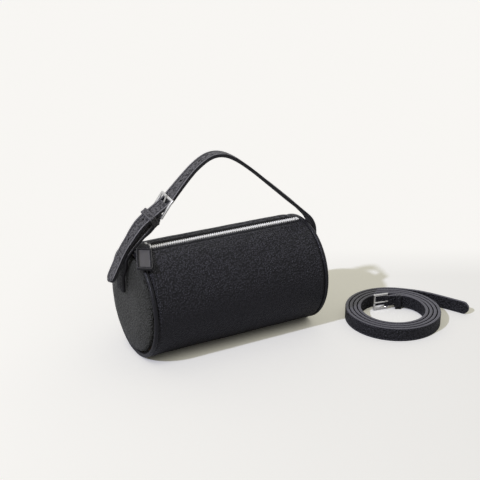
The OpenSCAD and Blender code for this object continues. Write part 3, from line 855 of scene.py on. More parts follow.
def finish(kind):
    """Returns a finish, made the first time that a piece asks for it."""
    name = kind + "_finish"
    found = bpy.data.materials.get(name)
    if found:
        return found
    tones = bpy.context.scene.bag_colours
    wrap, strap, crease_shade = tinted(tones.wrap), tinted(tones.strap), tinted(tones.crease_shade)
    # Leathers: top, painted crease shade, cell, relief, roughness, share left open in the creases, painted
    # sheen
    makers = {
        "wrap_leather": (pebbled_leather, wrap, crease_shade, 2.0 * MM, 0.9 * MM, 0.38, 0.7, 1.35),
        "piping_leather": (pebbled_leather, tinted(wrap, 0.85), crease_shade, 1.2 * MM, 0.15 * MM, 0.3, 0.6),
        "coil_leather": (pebbled_leather, wrap, crease_shade, 1.9 * MM, 1.2 * MM, 0.4, 0.2),
        # The ends' lighter tone is painted light from the lamp that they face
        "end_leather": (pebbled_leather, tinted(tones.ends), crease_shade, 2.0 * MM, 0.9 * MM, 0.44, 0.65, 0.1),
        # Half the wrap's tone: painted shade on the tab under the tail strap, in the straps' grooves and on
        # the pull
        "tab_leather": (pebbled_leather, tinted(wrap, 0.45), crease_shade, 2.2 * MM, 1.0 * MM, 0.5),
        # The straps' lighter tone is painted light on their sunward faces
        "strap_leather": (pebbled_leather, strap, crease_shade, 2.1 * MM, 1.2 * MM, 0.4, 0.3, 0.3),
        # Lighter than the strap: a painted highlight along the straps' rims
        "rim_leather": (pebbled_leather, tinted(strap, 1.5), strap, 0.8 * MM, 0.04 * MM, 0.3),
        "strap_backing": (pebbled_leather, tinted(strap, 0.5), crease_shade, 0.9 * MM, 0.12 * MM, 0.6),
        # In the straps' lighter tone: painted light on the pull's field and the keeper's ridges
        "smooth_leather": (pebbled_leather, strap, strap, 0.8 * MM, 0.04 * MM, 0.32),
        "painted_edge": (painted_edge, tones.edge),
        # The coil's edge paint is lightened partly as painted sheen on its upward edges
        "coil_edge": (painted_edge, tones.coil_edge),
        "nickel": (plated_metal, tinted(tones.nickel), 0.3),
        "zip_metal": (plated_metal, tinted(tones.zipper), 0.4, 0.4, 0.2),
        "zip_tape": (woven_cloth, tones.tape, 0.5 * MM, 0.8),
        "lining_cloth": (woven_cloth, tones.lining, 0.6 * MM, 0.75),
        "fibre_board": (pressed_board, tones.board),
        "thread": (sewing_thread, tones.thread),
        "dark_thread": (sewing_thread, linear("#09090a")),
    }
    make, *values = makers[kind]
    return make(name, *values)


def dress(node, kind):
    """Gives a carried CAD piece its finish."""
    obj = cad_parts[node]
    obj.data.materials.clear()
    coat(obj, kind)


# Pieces

class BARRELBAG_OT_wrap(Operator):
    """Model the leather wrap, with turned edges along the zip and its stitches"""
    bl_idname = "barrelbag.wrap"
    bl_label = "Leather Wrap"

    def execute(self, context):
        scene = context.scene
        barrel, zips = scene.bag_barrel, scene.bag_zip
        girth = arcs(barrel_line(scene))[-1]
        near = zips.gap / 2
        far = girth - near
        wrap = sheet("leather_wrap", 176, 96, far - near, barrel.length, (girth / 2, 0, -barrel.leather / 2))
        modify(wrap, 'SOLIDIFY', thickness=barrel.leather, offset=0)
        pick(wrap, 'FACE', lambda face: face.normal.z > 0.5)
        bpy.ops.mesh.subdivide(number_cuts=1)
        bpy.ops.object.mode_set(mode='OBJECT')

        def from_zip(co):
            return min(co.x - near, far - co.x)

        def from_seam(co):
            return barrel.length / 2 - abs(co.y)

        def outside(co):
            return co.z > -0.3 * barrel.leather

        def raised(co):
            back = 1 - step_up(near + 6 * MM, near + 34 * MM, co.x)
            return back * step_up(1 * MM, 16 * MM, from_seam(co))

        def turned_edge(co):
            d = from_zip(co)
            return bump_at(2.0 * MM, 2.2 * MM, d) + 0.9 * bump_at(7.5 * MM, 3.5 * MM, d)

        def uneven(co):
            return step_up(6 * MM, 20 * MM, from_zip(co)) * step_up(6 * MM, 20 * MM, from_seam(co))

        def grained(co):
            off_edge = 0.35 + 0.65 * step_up(5 * MM, 9 * MM, from_zip(co))
            return off_edge * step_up(1.5 * MM, 5 * MM, from_seam(co))

        lift(wrap, LIP_RISE, raised, 'Z')
        # The turned edge, its sunk line of stitches, the dip at the end seams and the swell beside it
        for amount, share in (
                (0.5 * MM, turned_edge),
                (-0.9 * MM, lambda co: bump_at(LIP_SEAM, 1.2 * MM, from_zip(co))),
                (-1.3 * MM, lambda co: 1 - step_up(0, 2.6 * MM, from_seam(co))),
                (0.35 * MM, lambda co: bump_at(4.5 * MM, 3.5 * MM, from_seam(co)))):
            lift(wrap, amount, only(outside, share), 'Z')
        ripple(wrap, 30 * MM, 0.9 * MM, only(outside, uneven))
        grain(wrap, PEBBLE, 0.14 * MM, only(outside, grained))
        # The cut edges are painted, and the strip in front of the gap takes the coil's leather, with no
        # painted sheen and more painted crease shade
        coat(wrap, "wrap_leather", "painted_edge", "coil_leather")
        for polygon in wrap.data.polygons:
            if from_zip(polygon.center) < 0.5 * MM and abs(polygon.normal.x) > 0.6:
                polygon.material_index = 1
            elif far - 4.8 * MM < polygon.center.x < far:
                polygon.material_index = 2
        on_barrel(wrap, scene)
        smooth(wrap, 60)
        seam = self.seams(scene, near + LIP_SEAM, far - LIP_SEAM)
        belong(wrap, "bag", "pebbled_leather", "body_wrap")
        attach(seam, "bag")
        return {'FINISHED'}

    def seams(self, scene, rear, front):
        """Stitches along both edges of the zip's gap, the rear ones on the raised lip."""
        length = scene.bag_barrel.length
        step = 3.3 * MM
        count = int((length - 12 * MM) / step)
        rows = []
        for across, rise in ((rear, LIP_RISE), (front, 0.0)):
            row = stitches("wrap_stitches", -(count - 1) * step / 2, step, count, (0,), rise - 0.18 * MM)
            if rise:
                lift(row, -rise, lambda co: 1 - step_up(1 * MM, 16 * MM, length / 2 - abs(co.x)), 'Z')
            row.rotation_euler.z = QUARTER
            row.location.x = across
            settle(row)
            on_barrel(row, scene)
            rows.append(row)
        seam = join("wrap_stitches", rows)
        seam.data.materials.clear()
        coat(seam, "dark_thread")
        return seam


class BARRELBAG_OT_ends(Operator):
    """Model the padded end panels and the piping round them"""
    bl_idname = "barrelbag.ends"
    bl_label = "Padded Ends and Piping"

    def execute(self, context):
        barrel = context.scene.bag_barrel
        axis = axis_height(barrel)
        for side, label in ((-1, "left"), (1, "right")):
            end = self.padded_end(label + "_padded_end", side, barrel, axis)
            belong(end, "bag", "pebbled_leather", label + "_end_panel", label + "_end_padding")
            piping = self.piping(label + "_piping_roll", side, barrel, axis)
            belong(piping, "bag", "pebbled_leather", label + "_piping")
        return {'FINISHED'}

    def padded_end(self, name, side, barrel, axis):
        """Drum with a rounded edge, filled like a cushion, with puckers along its rim."""
        reach = barrel.radius + barrel.piping_proud - barrel.piping - CLEARANCE
        swell = 2.2 * MM
        deep = barrel.dome - swell
        fresh()
        bpy.ops.mesh.primitive_cylinder_add(
            vertices=96, radius=reach - swell / 2, depth=deep, location=(0, 0, deep / 2))
        end = named(name)
        settle(end)
        pick(end, 'FACE', lambda face: face.normal.z > 0.9)
        bpy.ops.mesh.bevel(offset=barrel.roll - swell, segments=6)
        bpy.ops.object.mode_set(mode='OBJECT')
        modify(end, 'REMESH', mode='VOXEL', voxel_size=3.2 * MM)
        inflate(end, swell)
        modify(end, 'SUBSURF', levels=2, render_levels=2)

        def at_rim(co, inward, half):
            return bump_at(reach - inward, half, math.hypot(co.x, co.y)) * step_up(2 * MM, 4 * MM, co.z)

        def pucker(co):
            return at_rim(co, 3.2 * MM, 2.4 * MM) * math.sin(PUCKERS * math.atan2(co.y, co.x))

        ripple(end, 18 * MM, 0.7 * MM, lambda co: step_up(2 * MM, 8 * MM, co.z))
        grain(end, PEBBLE, 0.12 * MM, lambda co: step_up(1 * MM, 4 * MM, co.z))
        lift(end, 0.4 * MM, pucker)
        lift(end, -0.7 * MM, lambda co: at_rim(co, 1.5 * MM, 1.6 * MM), 'Z')
        move(end, Matrix.Translation((side * barrel.length / 2, 0, axis))
             @ Matrix.Rotation(side * QUARTER, 4, 'Y'))
        coat(end, "end_leather")
        smooth(end, 70)
        return end

    def piping(self, name, side, barrel, axis):
        r = barrel.piping / 2
        fresh()
        bpy.ops.mesh.primitive_torus_add(
            major_radius=barrel.radius + barrel.piping_proud - r, minor_radius=r,
            major_segments=240, minor_segments=24,
            location=(side * (barrel.length / 2 + r), 0, axis), rotation=(0, QUARTER, 0))
        piping = named(name)
        settle(piping)
        grain(piping, 1.8 * MM, 0.08 * MM, lambda co: 1.0)
        press_to_floor(piping)
        coat(piping, "piping_leather")
        smooth(piping, 60)
        return piping


def inflate(end, cap):
    """Lets cloth pressure fill a padded end, then holds each point within the cap."""
    take(end)
    start = [v.co.copy() for v in end.data.vertices]
    pins = end.vertex_groups.new(name="pins")
    pins.add([v.index for v in end.data.vertices if v.co.z < 0.6 * MM], 1.0, 'REPLACE')
    cloth = end.modifiers.new("Cloth", 'CLOTH')
    cloth.settings.use_pressure = True
    cloth.settings.uniform_pressure_force = 4
    cloth.settings.vertex_group_mass = "pins"
    cloth.settings.effector_weights.gravity = 0
    cloth.point_cache.frame_start, cloth.point_cache.frame_end = 1, CLOTH_FRAMES
    scene = bpy.context.scene
    for number in range(1, CLOTH_FRAMES + 1):
        scene.frame_set(number)
    take(end)
    bpy.ops.object.modifier_apply(modifier=cloth.name)
    scene.frame_set(1)
    for vertex, before in zip(end.data.vertices, start):
        step = vertex.co - before
        if step.length > cap:
            step *= cap / step.length
        vertex.co = before + step
    end.vertex_groups.remove(end.vertex_groups["pins"])


class BARRELBAG_OT_zip(Operator):
    """Model the zip's tapes and teeth, and finish its stops and slider"""
    bl_idname = "barrelbag.zip"
    bl_label = "Zip"

    def execute(self, context):
        scene = context.scene
        zips = scene.bag_zip
        girth = arcs(barrel_line(scene))[-1]
        bare = 0.7 * MM
        for label, low, high, edge in (("rear", bare, zips.tape, bare),
                                       ("front", girth - zips.tape, girth - bare, girth - bare)):
            self.tape(label, scene, low, high, edge)
            self.teeth(label, scene)
        for node in ("zip_bottom_stop", "zip_top_stops"):
            dress(node, "zip_metal")
        dress("zip_slider", "nickel")
        return {'FINISHED'}

    def tape(self, label, scene, low, high, edge):
        """Cloth tape under the leather, with a raised cord along its free edge."""
        barrel, zips = scene.bag_barrel, scene.bag_zip
        depth = -barrel.leather - 0.1 * MM - zips.tape_thickness / 2
        tape = sheet(label + "_tape", 16, 160, high - low, barrel.length, ((low + high) / 2, 0, depth))
        modify(tape, 'SOLIDIFY', thickness=zips.tape_thickness, offset=0)
        lift(tape, 0.35 * MM, only(lambda co: co.z > -barrel.leather - 0.2 * MM,
                                   lambda co: bump_at(edge, 1.6 * MM, co.x)), 'Z')
        on_barrel(tape, scene)
        coat(tape, "zip_tape")
        smooth(tape)
        belong(tape, "bag", "zip_tape", label + "_zip_tape")

    def teeth(self, label, scene):
        """One row of teeth, cut off on its tape's side and narrowed where it meets the other."""
        barrel, zips = scene.bag_barrel, scene.bag_zip
        side = 1 if label == "rear" else -1
        tooth = block(label + "_teeth", (0.8 * MM, 3.3 * MM, 2.2 * MM))
        edit_all(tooth)
        bpy.ops.mesh.bisect(plane_co=(0, -0.4 * MM * side, 0), plane_no=(0, 1, 0))
        bpy.ops.object.mode_set(mode='OBJECT')
        resize(tooth, 'VERT', lambda point: point.co.y * side < -1.0 * MM, (0.75, 1, 0.72))
        modify(tooth, 'BEVEL', width=0.2 * MM, segments=2)
        count = int((barrel.length - 10.4 * MM) / zips.pitch)
        comb = axis_height(barrel) + barrel.radius - barrel.leather
        tooth.location = (-(count - 1) * zips.pitch / 2 + side * zips.pitch / 4,
                          -zips.shift + side * 0.95 * MM, comb + 1.6 * MM)
        settle(tooth)
        repeat(tooth, count, zips.pitch)
        coat(tooth, "zip_metal")
        smooth(tooth, 40)
        belong(tooth, "bag", "zip_metal", label + "_zip_teeth")


class BARRELBAG_OT_pull(Operator):
    """Model the zip's link and its leather pull"""
    bl_idname = "barrelbag.pull"
    bl_label = "Zip Pull"

    def execute(self, context):
        scene = context.scene
        barrel, zips = scene.bag_barrel, scene.bag_zip
        lines = Lines(scene)
        link_r = 0.8 * MM
        hinge_z = lines.top + lines.clear + 1.2 * MM + link_r + 1.5 * MM
        rest_r = barrel.radius + barrel.piping_proud + zips.pull_thickness / 2 + lines.clear
        hinge_r = math.hypot(zips.shift, hinge_z - lines.axis)
        dip = math.asin(zips.shift / hinge_r) + math.acos(rest_r / hinge_r)
        hung = (Matrix.Translation((-zips.slider, lines.zip_y, hinge_z))
                @ Matrix.Rotation(dip, 4, 'X') @ Matrix.Rotation(math.radians(PULL_TURN), 4, 'Z'))
        half = 4.6 * MM
        corners = [(-half, 0, 0), (half, 0, 0), (half, -zips.link, 0), (-half, -zips.link, 0)]
        link = wire("zip_link", rounded(corners, 1.2 * MM), link_r * 0.9, closed=True)
        pull, seam = self.pull(zips, link_r)
        sleeve = self.sleeve(zips)
        move(link, hung)
        for piece in (pull, seam, sleeve):
            move(piece, Matrix.Translation((-TAG_SHIFT, 0, 0)) @ hung)
        belong(link, "link", "nickel", "pull_link")
        belong(pull, "pull", "pebbled_leather", "zip_pull")
        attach(sleeve, "link")
        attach(seam, "pull")
        return {'FINISHED'}

    def pull(self, zips, link_r):
        """Leather tag with a raised rim all round and a smooth sunk field."""
        top = -zips.link - link_r - 0.3 * MM
        length, width, thick = zips.pull_length, zips.pull_width - 1.2 * MM, zips.pull_thickness
        low = top - length
        rim, corner = 2.1 * MM, 1.8 * MM
        pull = sheet("leather_pull", 34, 66, width, length, (0, (top + low) / 2, 0))
        for y in sorted({round(v.co.y, 6) for v in pull.data.vertices}):
            depth = max(corner - (y - low), corner - (top - y), 0) / corner
            if depth:
                share = 1 - 2 * corner / width * (1 - math.sqrt(max(1 - depth * depth, 0)))
                resize(pull, 'VERT', lambda point, y=y: abs(point.co.y - y) < SAME_PLACE,
                       (share, 1, 1), (0, y, 0))
        modify(pull, 'SOLIDIFY', thickness=thick, offset=0)
        bevel(pull, 0.8 * MM, 3)

        def inside(co):
            return min(width / 2 - abs(co.x), co.y - low, top - co.y)

        def cushion(co):
            return bump_at(0, 0.35 * width, co.x) * bump_at((top + low) / 2, 0.42 * length, co.y)

        # The sunk field, the rim round it and the field's soft middle
        for amount, share in (
                (-1.0 * MM, lambda co: step_up(rim, rim + 0.8 * MM, inside(co))),
                (0.4 * MM, lambda co: bump_at(1.3 * MM, 1.2 * MM, inside(co))),
                (0.5 * MM, cushion)):
            lift(pull, amount, only(lambda co: co.z > 0, share), 'Z')
        # The tag is the shaded leather, painted shade, save its sunk field and a line round its top edge,
        # which take the lighter smooth leather as painted light
        coat(pull, "tab_leather", "smooth_leather", "painted_edge")
        for face in pull.data.polygons:
            depth = inside(face.center)
            if abs(face.normal.z) < 0.25 and depth < 0.8 * MM:
                face.material_index = 2
            elif face.center.z > 0 and (depth > rim + 0.3 * MM or depth < 0.6 * MM):
                face.material_index = 1
        smooth(pull, 60)
        step = 2.0 * MM
        row = width / 2 - rim + 0.2 * MM
        seam = stitches("pull_stitches", 0, step, int((length - 6 * MM) / step), (-row, row),
                        thick / 2 + 0.05 * MM, length=1.5 * MM, radius=0.22 * MM)
        move(seam, Matrix.Translation((0, low + 3.2 * MM, 0)) @ Matrix.Rotation(QUARTER, 4, 'Z'))
        return pull, seam

    def sleeve(self, zips):
        """Puckered fold of leather round the link, widest where it enters the tag."""
        tall, wide, deep = zips.link + 3.4 * MM, zips.pull_width - 1.2 * MM, 4.2 * MM
        middle = -tall / 2 + 0.9 * MM
        high, low = middle + tall / 2, middle - tall / 2
        sleeve = block("pull_sleeve", (wide, tall, deep), (0, middle, 0))
        resize(sleeve, 'FACE', lambda face: face.normal.y > 0.9, (0.66, 1, 0.8), (0, high, 0))
        resize(sleeve, 'FACE', lambda face: face.normal.y < -0.9, (1, 1, 0.55), (0, low, 0))
        modify(sleeve, 'BEVEL', width=1.9 * MM, segments=4)
        modify(sleeve, 'REMESH', mode='VOXEL', voxel_size=0.4 * MM)

        def pucker(co):
            fold = math.sin(co.x / (0.42 * MM) + 2 * math.sin(co.y / (1.4 * MM)))
            return fold * (1 - step_up(low + 5 * MM, low + 9 * MM, co.y))

        lift(sleeve, 0.5 * MM, only(lambda co: co.z > 0, pucker), 'Z')
        coat(sleeve, "piping_leather")
        smooth(sleeve, 70)
        return sleeve


class BARRELBAG_OT_handle(Operator):
    """Model the top handle's strap, its buckle strap and its stitches"""
    bl_idname = "barrelbag.handle"
    bl_label = "Top Handle"

    def execute(self, context):
        straps = context.scene.bag_straps
        lines = Lines(context.scene)
        half_t = straps.thickness / 2
        run = arcs(lines.handle)
        length = run[-1]
        face = self.layer("handle_face", straps, length, 0, half_t, "strap_leather")
        backing = self.layer("handle_back", straps, length, -half_t, 0, "strap_backing")
        holes = [run[int(s * STEPS)] for s in PUNCHED_STATIONS]
        for layer in (face, backing):
            punch(layer, holes, 2.4 * MM)
        slot = run[int(SLOT_STATION * STEPS)]
        punch(face, [slot], 4.0 * MM, 10.5 * MM)
        relief(face, straps)
        # The walls of the prong's slot take the edge paint that real punched slots have, and its floor on the
        # backing is painted black as the shade in the slot
        for layer in (face, backing):
            for polygon in layer.data.polygons:
                centre = polygon.center
                sunk = polygon.normal.z < 0.5 if layer is face else polygon.normal.z > 0.5
                if sunk and abs(centre.x - slot) < 2.2 * MM and abs(centre.y) < 5.4 * MM:
                    polygon.material_index = 1
        seam = strap_seam("handle_stitches", straps, 4 * MM, length - 12 * MM)
        for piece in (face, backing, seam):
            on_handle(piece, lines, lines.handle, lambda i: -between(HANDLE_TWISTS, i / STEPS))
            smooth(piece)
            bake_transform(piece)
        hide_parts("handle_strap", "right_handle_tab")
        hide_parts("handle_backing")
        self.buckle_strap(lines, straps)
        return {'FINISHED'}

    def layer(self, name, straps, length, low, high, kind):
        """One layer of the main strap, with its tail's end rounded."""
        obj = band(name, length, straps.width, low, high, STRAP_PITCH, STRAP_ROWS, kind, "painted_edge")
        round_end(obj, length, straps.width / 2)
        return obj

    def buckle_strap(self, lines, straps):
        """Strap from the left end's tab up to the buckle's hinge bar, round which it is rolled."""
        run = arcs(lines.buckle)
        length = run[-1]
        half_t = straps.thickness / 2
        obj = band("buckle_strap_leather", length - straps.eye / 2, straps.width, -half_t, half_t,
                   STRAP_PITCH, STRAP_ROWS, "strap_leather", "painted_edge")
        obj.location.x = straps.eye / 2
        settle(obj)
        relief(obj, straps)
        rolled = strap_eye("buckle_eye", straps, straps.width, "strap_leather")
        rolled.rotation_euler.x = QUARTER
        settle(rolled)
        seam = strap_seam("buckle_strap_stitches", straps, 8 * MM, length - 12 * MM)
        # Past the middle its face and rims take the shaded leather: painted shadow of the tail strap on the
        # tab
        for polygon in obj.data.polygons:
            if polygon.center.x > 0.55 * length and polygon.material_index in (0, 2):
                polygon.material_index = 3

        # Its back is thicker where the leather is doubled behind the buckle
        def doubled(co):
            return step_up(2 * MM, 5 * MM, co.x) * (1 - step_up(17 * MM, 30 * MM, co.x))

        lift(obj, -2.2 * MM, only(lambda co: co.z < 0, doubled), 'Z')
        obj = join("buckle_strap_leather", [obj, rolled])

        def along(i):
            return run[min(i, len(run) - 1)]

        def turned(i):
            return BUCKLE_TWIST * (1 - step_up(0.1 * length, 0.62 * length, along(i)))

        def sideways(i):
            share = step_up(0, 0.6 * length, along(i))
            low = step_up(0.6 * length, 0.85 * length, along(i))
            return -1.7 * MM * (1 - share) - 4.0 * MM * low

        for piece in (obj, seam):
            on_handle(piece, lines, lines.buckle, turned, sideways)
            smooth(piece)
            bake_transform(piece)
            lift(piece, -TAB_PROUD, lambda co: 1 - step_up(lines.pivot, lines.pivot + 14 * MM, co.z), 'X')
        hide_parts("buckle_strap", "left_handle_tab")


def relief(obj, straps, rim_finish="rim_leather", groove_finish="tab_leather", depth=0.22 * MM):
    """Creases a strap's face inside its smooth rims, and raises the grain between."""
    high = straps.thickness / 2
    rim, groove = straps.width / 2 - 1.8 * MM, straps.width / 2 - 3.2 * MM

    def on_face(co):
        return co.z > high - 0.5 * MM

    lift(obj, -0.45 * MM, only(on_face, lambda co: bump_at((rim + groove) / 2, 0.9 * MM, abs(co.y))), 'Z')
    grain(obj, 2.3 * MM, depth, only(on_face, lambda co: 1 - step_up(groove - 1.0 * MM, groove, abs(co.y))))
    first = len(obj.data.materials)
    coat(obj, rim_finish, groove_finish)
    # By default the rims take a painted highlight and the band of the crease inside them painted shade
    for polygon in obj.data.polygons:
        aside = abs(polygon.center.y)
        if polygon.material_index == 0 and polygon.center.z > high - 0.6 * MM and aside > groove:
            polygon.material_index = first if aside > rim else first + 1


class BARRELBAG_OT_buckle(Operator):
    """Model the handle's buckle, prong and keeper"""
    bl_idname = "barrelbag.buckle"
    bl_label = "Handle Buckle"

    def execute(self, context):
        straps = context.scene.bag_straps
        lines = Lines(context.scene)
        near, far = lines.in_bag(lines.near_bar), lines.in_bag(lines.far_bar)
        along = far - near
        buckle = buckle_frame("handle_buckle_frame", along.length + 2.3 * MM,
                              straps.width / 2 + 1.6 * MM, 2.9 * MM, 2.3 * MM)
        place(buckle, near, along, Vector((-along.z, 0, along.x)))
        for piece, body, node, slot in (
                (buckle, "handle", "handle_buckle", "nickel"),
                (self.prong(lines, straps, along), "prong", "handle_prong", "nickel"),
                (self.keeper(lines, straps), "keeper", "handle_keeper", "pebbled_leather")):
            twist(piece, lines)
            belong(piece, body, slot, node)
        return {'FINISHED'}

    def prong(self, lines, straps, along):
        """Prong with a ring round the hinge bar and a knee towards the strap."""
        out = Vector((-along.z, along.x)).normalized()
        ahead = Vector((along.x, along.z)).normalized()
        start = lines.near_bar
        tip = lines.far_bar + (straps.wire + straps.prong) / 2 * out + 3.4 * MM * ahead
        knee = start.lerp(tip, 0.5) - 2.2 * MM * out
        path = [start.lerp(knee, 0.35), start.lerp(knee, 0.7), knee.lerp(start, 0.12), knee,
                knee.lerp(tip, 0.15), knee.lerp(tip, 0.5), knee.lerp(tip, 0.9), tip]
        rod = wire("handle_prong_tongue", [lines.in_bag(p) for p in path], 0.7 * straps.prong)
        return ringed("handle_prong_tongue", rod, straps,
                      Matrix.Translation(lines.in_bag(start)) @ Matrix.Rotation(QUARTER, 4, 'X'))

    def keeper(self, lines, straps):
        i = int((PRONG_STATION + 0.75) * STEPS)
        tail, under = lines.handle[i], lines.buckle[STEPS]
        inner = (tail - under).length / 2 + straps.thickness / 2 + 1.5 * lines.clear
        direction = heading(lines.handle, i)
        keeper = loop("keeper_loop", straps.width / 2 + lines.clear, inner, "strap_leather", "smooth_leather")
        place(keeper, lines.in_bag((tail + under) / 2), Vector((direction.x, 0, direction.y)),
              Vector((direction.y, 0, -direction.x)))
        return keeper


def loop(name, half_w, half_h, kind, ridge_kind, open_below=False):
    """Leather loop round a strap: X along the strap, with two creased ridges."""
    length, wall = 7 * MM, 1.5 * MM
    obj = block(name, (length, 2 * (half_w + wall), 2 * (half_h + wall)))
    pick(obj, 'FACE', lambda face: abs(face.normal.x) > 0.9 or (open_below and face.normal.z < -0.9))
    bpy.ops.mesh.delete(type='FACE')
    bpy.ops.object.mode_set(mode='OBJECT')
    bevel(obj, 1.6 * MM, 4)
    for k in range(-5, 6):
        edit_all(obj)
        bpy.ops.mesh.bisect(plane_co=(k * length / 12, 0, 0), plane_no=(1, 0, 0))
    bpy.ops.object.mode_set(mode='OBJECT')
    modify(obj, 'SOLIDIFY', thickness=wall, offset=-1)
    bevel(obj, 0.3 * MM, 2)
    modify(obj, 'SUBSURF', levels=1, render_levels=1, subdivision_type='SIMPLE')
    lift(obj, 0.3 * MM, only(lambda co: max(abs(co.y) - half_w, abs(co.z) - half_h) > 0.5 * wall,
                             lambda co: bump_at(length / 2 - 1.4 * MM, 1.0 * MM, abs(co.x))))
    coat(obj, kind, "painted_edge", ridge_kind)
    for polygon in obj.data.polygons:
        if abs(polygon.normal.x) > 0.6:
            polygon.material_index = 1
        elif abs(polygon.center.x) > length / 2 - 1.8 * MM:
            polygon.material_index = 2
    smooth(obj)
    return obj


def buckle_frame(name, length, half, wire_w, wire_t):
    """Rectangular flat-barred frame from its hinge bar at the origin to its far bar along X."""
    fresh()
    bpy.ops.mesh.primitive_plane_add(size=1, location=(length / 2, 0, 0))
    obj = scaled(name, (length + wire_w, 2 * half + wire_w, 1))
    edit_all(obj)
    bpy.ops.mesh.inset(thickness=wire_w)
    bpy.ops.mesh.delete(type='FACE')
    bpy.ops.object.mode_set(mode='OBJECT')
    modify(obj, 'SOLIDIFY', thickness=wire_t, offset=0)
    bevel(obj, 0.42 * wire_t, 4)
    coat(obj, "nickel")
    smooth(obj, 35)
    return obj


class BARRELBAG_OT_shoulder_strap(Operator):
    """Model the coiled shoulder strap with its buckle, prong and keeper"""
    bl_idname = "barrelbag.shoulder_strap"
    bl_label = "Shoulder Strap"

    def execute(self, context):
        straps = context.scene.bag_straps
        lines = Lines(context.scene)
        narrow = straps.width - straps.wire - lines.clear
        start = lines.coil[0]
        bar = lines.coil_centre + Vector((start.x, start.y, straps.width - narrow / 2 + END_RISE))
        ahead = heading(lines.coil, 2)
        along = Vector((-ahead.x, -ahead.y, 0))
        across = Vector((ahead.y, -ahead.x, 0))
        strap, seam = self.strap(lines, straps, narrow, bar)
        frame_l = 16 * MM
        buckle = buckle_frame("shoulder_buckle_frame", frame_l, narrow / 2 + 2.2 * MM, 2.6 * MM, 2.2 * MM)
        place(buckle, bar, along, across)
        prong = self.prong(bar, along, across, frame_l, straps)
        keeper = self.keeper(lines, straps)
        belong(strap, "shoulder_strap", "pebbled_leather", "long_strap", "long_strap_eyes")
        belong(buckle, "shoulder_buckle", "nickel", "long_strap_buckle")
        belong(prong, "shoulder_prong", "nickel", "long_strap_prong")
        belong(keeper, "shoulder_keeper", "pebbled_leather", "long_strap_keeper")
        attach(seam, "shoulder_strap")
        return {'FINISHED'}

    def strap(self, lines, straps, narrow, bar):
        """Coiled strap, narrowed where it is rolled round the buckle's bar, and its stitches."""
        length = arcs(lines.coil)[-1]
        half_w, half_t = straps.width / 2, straps.thickness / 2
        strap = band("shoulder_strap_leather", length - straps.eye / 2, straps.width, -half_t, half_t,
                     1.0 * MM, 14, "coil_leather", "coil_edge")
        strap.location.x = straps.eye / 2
        settle(strap)
        round_end(strap, length, half_w)
        lift(strap, -(straps.width - narrow), lambda co: (co.y / half_w + 1) / 2
             * (1 - step_up(10 * MM, 15 * MM, co.x)), 'Y')
        relief(strap, straps, "coil_leather", "coil_leather", 0.12 * MM)
        seam = strap_seam("shoulder_stitches", straps, 16 * MM, length - 24 * MM, 1.7 * MM)
        for piece in (strap, seam):
            lift(piece, -END_RISE, lambda co: 1 - step_up(12 * MM, 60 * MM, co.x), 'Y')
            on_coil(piece, lines, half_w)
            smooth(piece)
        rolled = strap_eye("shoulder_eye", straps, narrow, "coil_leather")
        rolled.location = bar
        settle(rolled)
        strap = join("shoulder_strap_leather", [strap, rolled])
        smooth(strap)
        return strap, seam

    def prong(self, bar, along, across, frame_l, straps):
        """Prong that leaves its ring beside the bar and lies on the frame's far bar."""
        over = (straps.wire + straps.prong) / 2 + 0.15 * MM
        points = [bar + along * x + across * y for x, y in (
            (0.6 * MM, 0.3 * MM), (1.6 * MM, 1.0 * MM), (3.2 * MM, over + 0.1 * MM),
            (0.5 * frame_l, over + 0.05 * MM), (frame_l + 0.9 * MM, over))]
        rod = wire("shoulder_prong_tongue", points, straps.prong / 2)
        return ringed("shoulder_prong_tongue", rod, straps, Matrix.Translation(bar))

    def keeper(self, lines, straps):
        i = int(1.5 * STEPS)
        at, ahead = lines.coil[i], heading(lines.coil, i)
        height = straps.width + lines.clear
        keeper = loop("shoulder_keeper_loop", straps.thickness / 2 + 2 * lines.clear, height / 2,
                      "coil_leather", "piping_leather", open_below=True)
        place(keeper, lines.coil_centre + Vector((at.x, at.y, height / 2)),
              Vector((ahead.x, ahead.y, 0)), Vector((0, 0, 1)))
        press_to_floor(keeper, 0.2 * MM)
        return keeper


class BARRELBAG_OT_inside(Operator):
    """Finish the pieces inside the bag"""
    bl_idname = "barrelbag.inside"
    bl_label = "Inner Pieces"

    def execute(self, context):
        dress("body_stiffener", "fibre_board")
        dress("body_lining", "lining_cloth")
        for label in ("left", "right"):
            dress(label + "_end_board", "fibre_board")
            dress(label + "_end_lining", "lining_cloth")
            dress(label + "_piping_cord", "lining_cloth")
        return {'FINISHED'}


